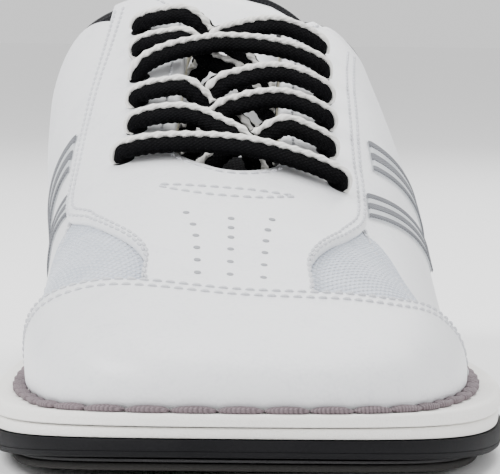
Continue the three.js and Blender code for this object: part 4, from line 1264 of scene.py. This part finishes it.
# ---- Soft fill ----
@dataclass(frozen=True)
class Fill:
    """How a closed pad is blown up by a cloth simulation."""

    voxel: float = 1.8
    pressure: float = 4.0
    frames: int = 20
    most: float = 0.8

    def inflate(self, item: bpy.types.Object) -> None:
        """Swells a pad, so that its skin is drawn over the foam as cloth is.

        The skin moves by the simulation's displacement, cut down to ``most`` where it is longer.

        Args:
            item: a closed mesh with no modifiers.
        """
        scene = bpy.context.scene
        even = item.modifiers.new("even", "REMESH")
        even.mode, even.voxel_size = "VOXEL", self.voxel * MM
        self.take(item)
        start = self.corners(item.data)
        cloth = item.modifiers.new("cloth", "CLOTH")
        cloth.settings.use_pressure = True
        cloth.settings.uniform_pressure_force = self.pressure
        cloth.settings.effector_weights.gravity = 0.0
        for number in range(1, self.frames + 1):
            scene.frame_set(number)
        self.take(item)
        moved = self.corners(item.data) - start
        span = np.linalg.norm(moved, axis=1, keepdims=True)
        moved *= np.minimum(1.0, self.most * MM / np.maximum(span, 1e-9))
        item.data.vertices.foreach_set("co", (start + moved).astype(np.float32).ravel())
        scene.frame_set(1)
        finer = item.modifiers.new("finer", "SUBSURF")
        finer.levels = finer.render_levels = 1
        self.take(item)
        item.data.polygons.foreach_set("use_smooth", np.ones(len(item.data.polygons), bool))
        LOG.info("%s: filled, %d faces, moved up to %.2f mm", item.name, len(item.data.polygons),
                 np.linalg.norm(moved, axis=1).max() / MM)

    @staticmethod
    def corners(mesh: bpy.types.Mesh) -> Array:
        """Places of a mesh's vertices, one row each."""
        flat = np.empty(len(mesh.vertices) * 3, np.float32)
        mesh.vertices.foreach_get("co", flat)
        return flat.reshape(-1, 3).astype(float)

    @staticmethod
    def take(item: bpy.types.Object) -> None:
        """Replaces an object's mesh with what its modifiers make of it, and drops the modifiers."""
        graph = bpy.context.evaluated_depsgraph_get()
        mesh = bpy.data.meshes.new_from_object(item.evaluated_get(graph))
        mesh.name = item.data.name
        item.modifiers.clear()
        item.data = mesh


# ---- Tongue ----
@dataclass
class Tongue:
    """A padded tongue under the lace: white face, black lining and binding, and a plain label."""

    shop: Workshop
    front: float = -44.6
    end: float = 81.8
    lift: float = 5.0
    depth: float = 10.6
    puff: float = 1.3
    pad: float = 4.5
    lining: tuple[float, float] = (-1.5, -0.25)
    label: tuple[float, float] = (-0.15, 0.7)

    def top(self, y: Array) -> Array:
        """Height of the tongue's face under the last's surface."""
        return -self.depth + self.lift * smoothstep(y, 48, 78)

    def half(self, y: Array) -> Array:
        """Half width in the pattern: nearly straight sides and a rounded end."""
        width = np.interp(y, [-45, -30, 0, 40, 60, 70], [9, 11.2, 11.8, 11.8, 12.2, 12.0])
        end = np.clip((y - 68) / (self.end - 68), 0, 1)
        return width * np.sqrt(np.clip(1 - end ** 2.6, 0.0, 1)) + 0.25

    def build(self) -> None:
        """Makes the tongue's pieces."""
        y = self.front + (self.end - self.front) * eased(130)
        across = np.sin(np.linspace(-np.pi / 2, np.pi / 2, 60))
        chart = self.chart(self.half(y), across, y)
        crown = (1 - across[None] ** 4) * (1 - np.clip((y[:, None] - 60) / 22, 0, 1) ** 3)
        ripple = 0.18 * np.sin(y[:, None] / 4.6 + 1.5 * across[None]) * (1 - across[None] ** 2)
        high = self.top(y)[:, None] + self.puff * (crown - 0.75) + ripple
        low = self.top(y)[:, None] - self.pad + 0 * across[None]
        face = self.shop.shell("tongue", chart, low, high, WHITE_LEATHER, ["tongue", "tongue_foam"],
                               "tongue_body")
        Fill().inflate(face)
        self.shop.shell("tongue_lining", chart, *(low + step for step in self.lining), BLACK_LINING,
                        body="tongue_body")
        self.binding(chart, self.top(y))
        self.gusset()
        label = rectangle((-8.6, 5.0), (-4.0, 15.4), 24, 24)
        height = self.top(label[..., 1])
        self.shop.shell("tongue_label", label, *(height + step for step in self.label), GREY_TRIM,
                        body="tongue_body")

    @staticmethod
    def chart(half: Array | float, across: Array, y: Array) -> Array:
        """Pattern grid about the middle line: shares of a half width across, at places along the foot."""
        x = MIDDLE + np.broadcast_to(half, y.shape)[:, None] * across[None]
        return np.stack([x, np.broadcast_to(y[:, None], x.shape)], axis=-1)

    def gusset(self) -> None:
        """Black web that joins the foot of the tongue to the vamp's lining, inside the throat."""
        across = np.linspace(-1, 1, 40)
        y = np.linspace(-47.0, -14.0, 40)
        chart = self.chart(8.6, across, y)
        height = -6.6 - 2.7 * smoothstep(y, -46, -36)[:, None] + 0 * across[None]
        self.shop.shell("tongue_gusset", chart, height - 0.8, height, BLACK_LINING)

    def binding(self, chart: Array, top: Array) -> None:
        """Black tape over the tongue's edge, from one side round its end to the other."""
        start = 30
        loop = np.vstack([chart[start:, -1], chart[start:, 0][::-1]])
        height = np.concatenate([top[start:], top[start:][::-1]])
        dense = resample(np.column_stack([loop, height]), 360)
        point, normal = self.shop.last.frame_at(dense[:, :2])
        tall = 2.6
        centre = point + normal * (dense[:, 2] - tall)[:, None]
        tape = oval(1.0, tall, 18)
        self.shop.strip("tongue_binding", centre, normal, tape, BLACK_LINING, body="tongue_body")


# ---- Lace ----
@dataclass
class Lacing:
    """One flat lace: a bar over the foot of the throat, crossings up to the last eyelets, and two tails.

    One of its halves crosses once inside the shoe and comes out through the next eyelet. Over ``over_side``
    is the half, -1 or 1, that lies on top at each crossing.
    """

    shop: Workshop
    upper: Upper
    width: float = 8.2
    thick: float = 3.5
    over: float = 3.5
    under: float = -7.3
    high: float = 4.4
    low: float = 0.8
    inside_row: int = 2
    over_side: tuple[int, ...] = (1, -1, -1, -1, -1)
    sides: int = 20
    weave_pitch: float = 1.9
    twist_pitch: float = 3.1

    def build(self) -> None:
        """Makes the lace and the pale ridge along it, whose colour is a painted highlight on the lace's top.
        """
        left, right = self.strand(-1), self.strand(1)
        foot = self.upper.first_row
        bar = [(-21.5, foot - 0.3, self.over + 1.0, 0.9), (-12, foot - 0.6, 4.8, 1.0),
               (0, foot - 0.8, 5.2, 1.0), (12, foot - 0.6, 4.8, 1.0),
               (21.5, foot - 0.3, self.over + 1.0, 0.9)]
        route = np.array([*left[::-1], *bar, *right])
        spaced = smooth_curve(route, 1500)
        chart = self.shop.last.across(spaced[:, 0], spaced[:, 1])
        point, normal = self.shop.last.frame_at(chart)
        path = point + normal * spaced[:, 2:3]
        wide = np.clip(spaced[:, 3], 0.45, 1.0)
        dense = resample(np.column_stack([path, normal, wide]), 1500)
        path, normal, wide = dense[:, :3], dense[:, 3:6], dense[:, 6]
        LOG.info("lace: %.3f m from tip to tip", lengths(path, 0)[-1] * MM)

        def section(length: Array) -> Array:
            """Flattened ring, narrower and thicker where the lace passes an eyelet."""
            angle = turn(self.sides)
            c, s = np.cos(angle), np.sin(angle)
            flat = np.sign(c) * np.abs(c) ** 0.8
            weave = 1 + 0.05 * np.sin(length[:, None] * 2 * np.pi / self.weave_pitch + 2 * angle[None])
            return np.stack([wide[:, None] * self.width / 2 * flat[None] * weave,
                             (1.25 - 0.25 * wide[:, None]) * self.thick / 2 * s[None] * weave], axis=-1)

        def highlight_ridge(length: Array) -> Array:
            """Ring of the twisted pale cord along the middle of the lace; its pale colour is a painted
            highlight along the lace's top.
            """
            angle = turn(10)
            turned = length[:, None] * 2 * np.pi / self.twist_pitch
            size = 0.9 * (1 + 0.16 * np.sin(2 * angle[None] + turned)) * (1 + 0.24 * np.sin(turned))
            middle = self.thick / 2 + 0.35
            return np.stack([size * np.cos(angle)[None], middle + size * 0.75 * np.sin(angle)[None]], axis=-1)

        self.shop.strip("lace", path, normal, section, BLACK_LACE)
        # The ridge's pale colour is a painted highlight along the top of the lace.
        self.shop.strip("lace_highlight_ridge", path, normal, highlight_ridge, LACE_HIGHLIGHT)

    def strand(self, side: int) -> list[tuple[float, float, float, float]]:
        """Places along one half of the lace: across, along, height and share of its full width."""
        up = self.upper
        places: list[tuple[float, float, float, float]] = []
        at = side
        for row in range(up.eyelet_rows - 1):
            here = up.first_row + up.row_pitch * row
            there = here + up.row_pitch
            reach = up.first_reach if row == 0 else up.eyelet_reach
            height = self.high if self.over_side[row] == at else self.low
            down = [(at * reach, here, self.over, 0.55), (at * reach, here, -1.5, 0.45),
                    (at * (reach - 1), here + 0.6, self.under, 0.5),
                    (at * 17, here + 1.5, self.under - 0.5, 0.7)]
            if side > 0 and row == self.inside_row:
                places += [*down, (0, here + 7.8, self.under - 0.2, 0.7),
                           (-at * 17, there - 1.5, self.under - 0.5, 0.7),
                           (-at * (reach - 1), there - 0.6, self.under, 0.5),
                           (-at * reach, there, -1.5, 0.45)]
            elif side > 0 and row == self.inside_row + 1:
                places += [(at * reach, here, self.over, 0.55), (at * 18, here + 2.5, self.over + 2.0, 0.9),
                           (at * 9, here + 6.5, 6.6, 1.0), (0, here + 9.0, 7.2, 1.0),
                           (-at * 9, here + 11, 6.8, 1.0), (-at * 18, there - 1.4, self.over + 1.8, 0.9)]
            else:
                places += [*down, (at * 11.5, here + 2.5, self.under - 0.6, 0.7),
                           (at * 7.4, here + 4.0, -4.6, 0.8), (at * 4.2, here + 5.6, height - 3.0, 0.9),
                           (0, here + 8.0, height, 1.0), (-at * 5.0, here + 10.4, height + 1.2, 1.0),
                           (-at * 10.5, here + 12.6, 6.2, 1.0),
                           (-at * 15.5, here + 13.9, self.over + 2.2, 1.0),
                           (-at * 19.6, there - 0.4, self.over + 1.2, 0.85)]
            at = -at
        final = up.first_row + up.row_pitch * (up.eyelet_rows - 1)
        places += [(at * up.eyelet_reach, final, self.over, 0.55), (at * up.eyelet_reach, final, -1.5, 0.45),
                   (at * 23, final - 1, self.under, 0.5), (at * 27, final - 6, self.under - 0.4, 0.6),
                   (at * 31, final - 16, self.under - 0.4, 0.6), (at * 34, final - 28, self.under - 0.3, 0.6),
                   (at * 36, final - 41, self.under - 0.3, 0.5)]
        return places


# ---- Hidden pieces ----
HIDDEN = {
    "bottom_filler": FOAM, "shank": STEEL, "lasting_board": BOARD, "footbed": FOOTBED,
    "eyestay_backing_medial": BACKING, "eyestay_backing_lateral": BACKING, "quarter_foam_medial": FOAM,
    "quarter_foam_lateral": FOAM, "toe_puff": BACKING, "vamp_foam": FOAM, "vamp_lining": BLACK_LINING,
    "heel_counter": BOARD, "aglet_a": AGLET, "aglet_b": AGLET,
}


def dress_hidden(shop: Workshop) -> None:
    """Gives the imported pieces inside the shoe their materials."""
    for name, finish in HIDDEN.items():
        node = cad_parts[name]
        node.data.materials.clear()
        node.data.materials.append(shop.material(finish))


# ---- Studio ----
@dataclass
class Studio:
    """A pale floor, soft lights and the camera in front of the toe."""

    camera_place: tuple[float, float, float] = (0.0, -0.816, 0.100)
    pitch_deg: float = 4.08
    lens_mm: float = 243.5
    roll_deg: float = 0.6
    sensor_mm: float = 36.0
    floor_reach: float = 6.0
    floor_level: float = -0.0002
    aim: tuple[float, float, float] = (0.0, 0.0, 0.05)

    def build(self) -> None:
        """Sets the stage: floor, world, lights and camera."""
        scene = bpy.context.scene
        mesh = bpy.data.meshes.new("floor")
        corners = [(x * self.floor_reach, y * self.floor_reach, self.floor_level)
                   for x, y in ((-1, -1), (1, -1), (1, 1), (-1, 1))]
        mesh.from_pydata(corners, [], [(0, 1, 2, 3)])
        floor = bpy.data.objects.new("floor", mesh)
        scene.collection.objects.link(floor)
        paint = bpy.data.materials.new("floor")
        paint.use_nodes = True
        coating = paint.node_tree.nodes["Principled BSDF"].inputs
        coating["Base Color"].default_value = (0.95, 0.95, 0.95, 1)
        coating["Roughness"].default_value = 0.85
        mesh.materials.append(paint)
        world = bpy.data.worlds.new("studio")
        world.use_nodes = True
        background = world.node_tree.nodes["Background"].inputs
        background["Color"].default_value = (1.0, 1.0, 1.0, 1)
        background["Strength"].default_value = 1.0
        scene.world = world
        for name, place, power, size in (("key", (-0.8, -0.35, 0.9), 15.0, 0.5),
                                         ("fill", (0.9, -0.8, 0.5), 4.5, 0.8),
                                         ("top", (0.1, 0.25, 1.1), 11.0, 0.8),
                                         ("back", (0.3, 1.0, 0.7), 4.0, 0.6)):
            light = bpy.data.lights.new(name, "AREA")
            light.energy, light.size = power, size
            item = bpy.data.objects.new(name, light)
            item.location = place
            item.rotation_euler = (Vector(self.aim) - item.location).to_track_quat("-Z", "Y").to_euler()
            scene.collection.objects.link(item)
        camera = bpy.data.cameras.new("camera")
        camera.lens = self.lens_mm
        camera.sensor_width = self.sensor_mm
        camera.clip_start, camera.clip_end = 0.01, 50.0
        item = bpy.data.objects.new("camera", camera)
        item.matrix_world = (Matrix.Translation(self.camera_place)
                             @ Matrix.Rotation(math.radians(90 - self.pitch_deg), 4, "X")
                             @ Matrix.Rotation(math.radians(self.roll_deg), 4, "Z"))
        scene.collection.objects.link(item)
        scene.camera = item


def main() -> None:
    """Builds the shoe and its studio."""
    logging.basicConfig(level=logging.INFO, format="%(name)s %(message)s")
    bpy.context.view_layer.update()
    shop = Workshop(Last(length=DRAWN_LENGTH, width=DRAWN_WIDTH))
    SoleUnit(shop).build()
    upper = Upper(shop)
    upper.build()
    Lining(shop).build()
    Tongue(shop).build()
    Lacing(shop, upper).build()
    dress_hidden(shop)
    Studio().build()


if __name__ == "__main__":
    main()
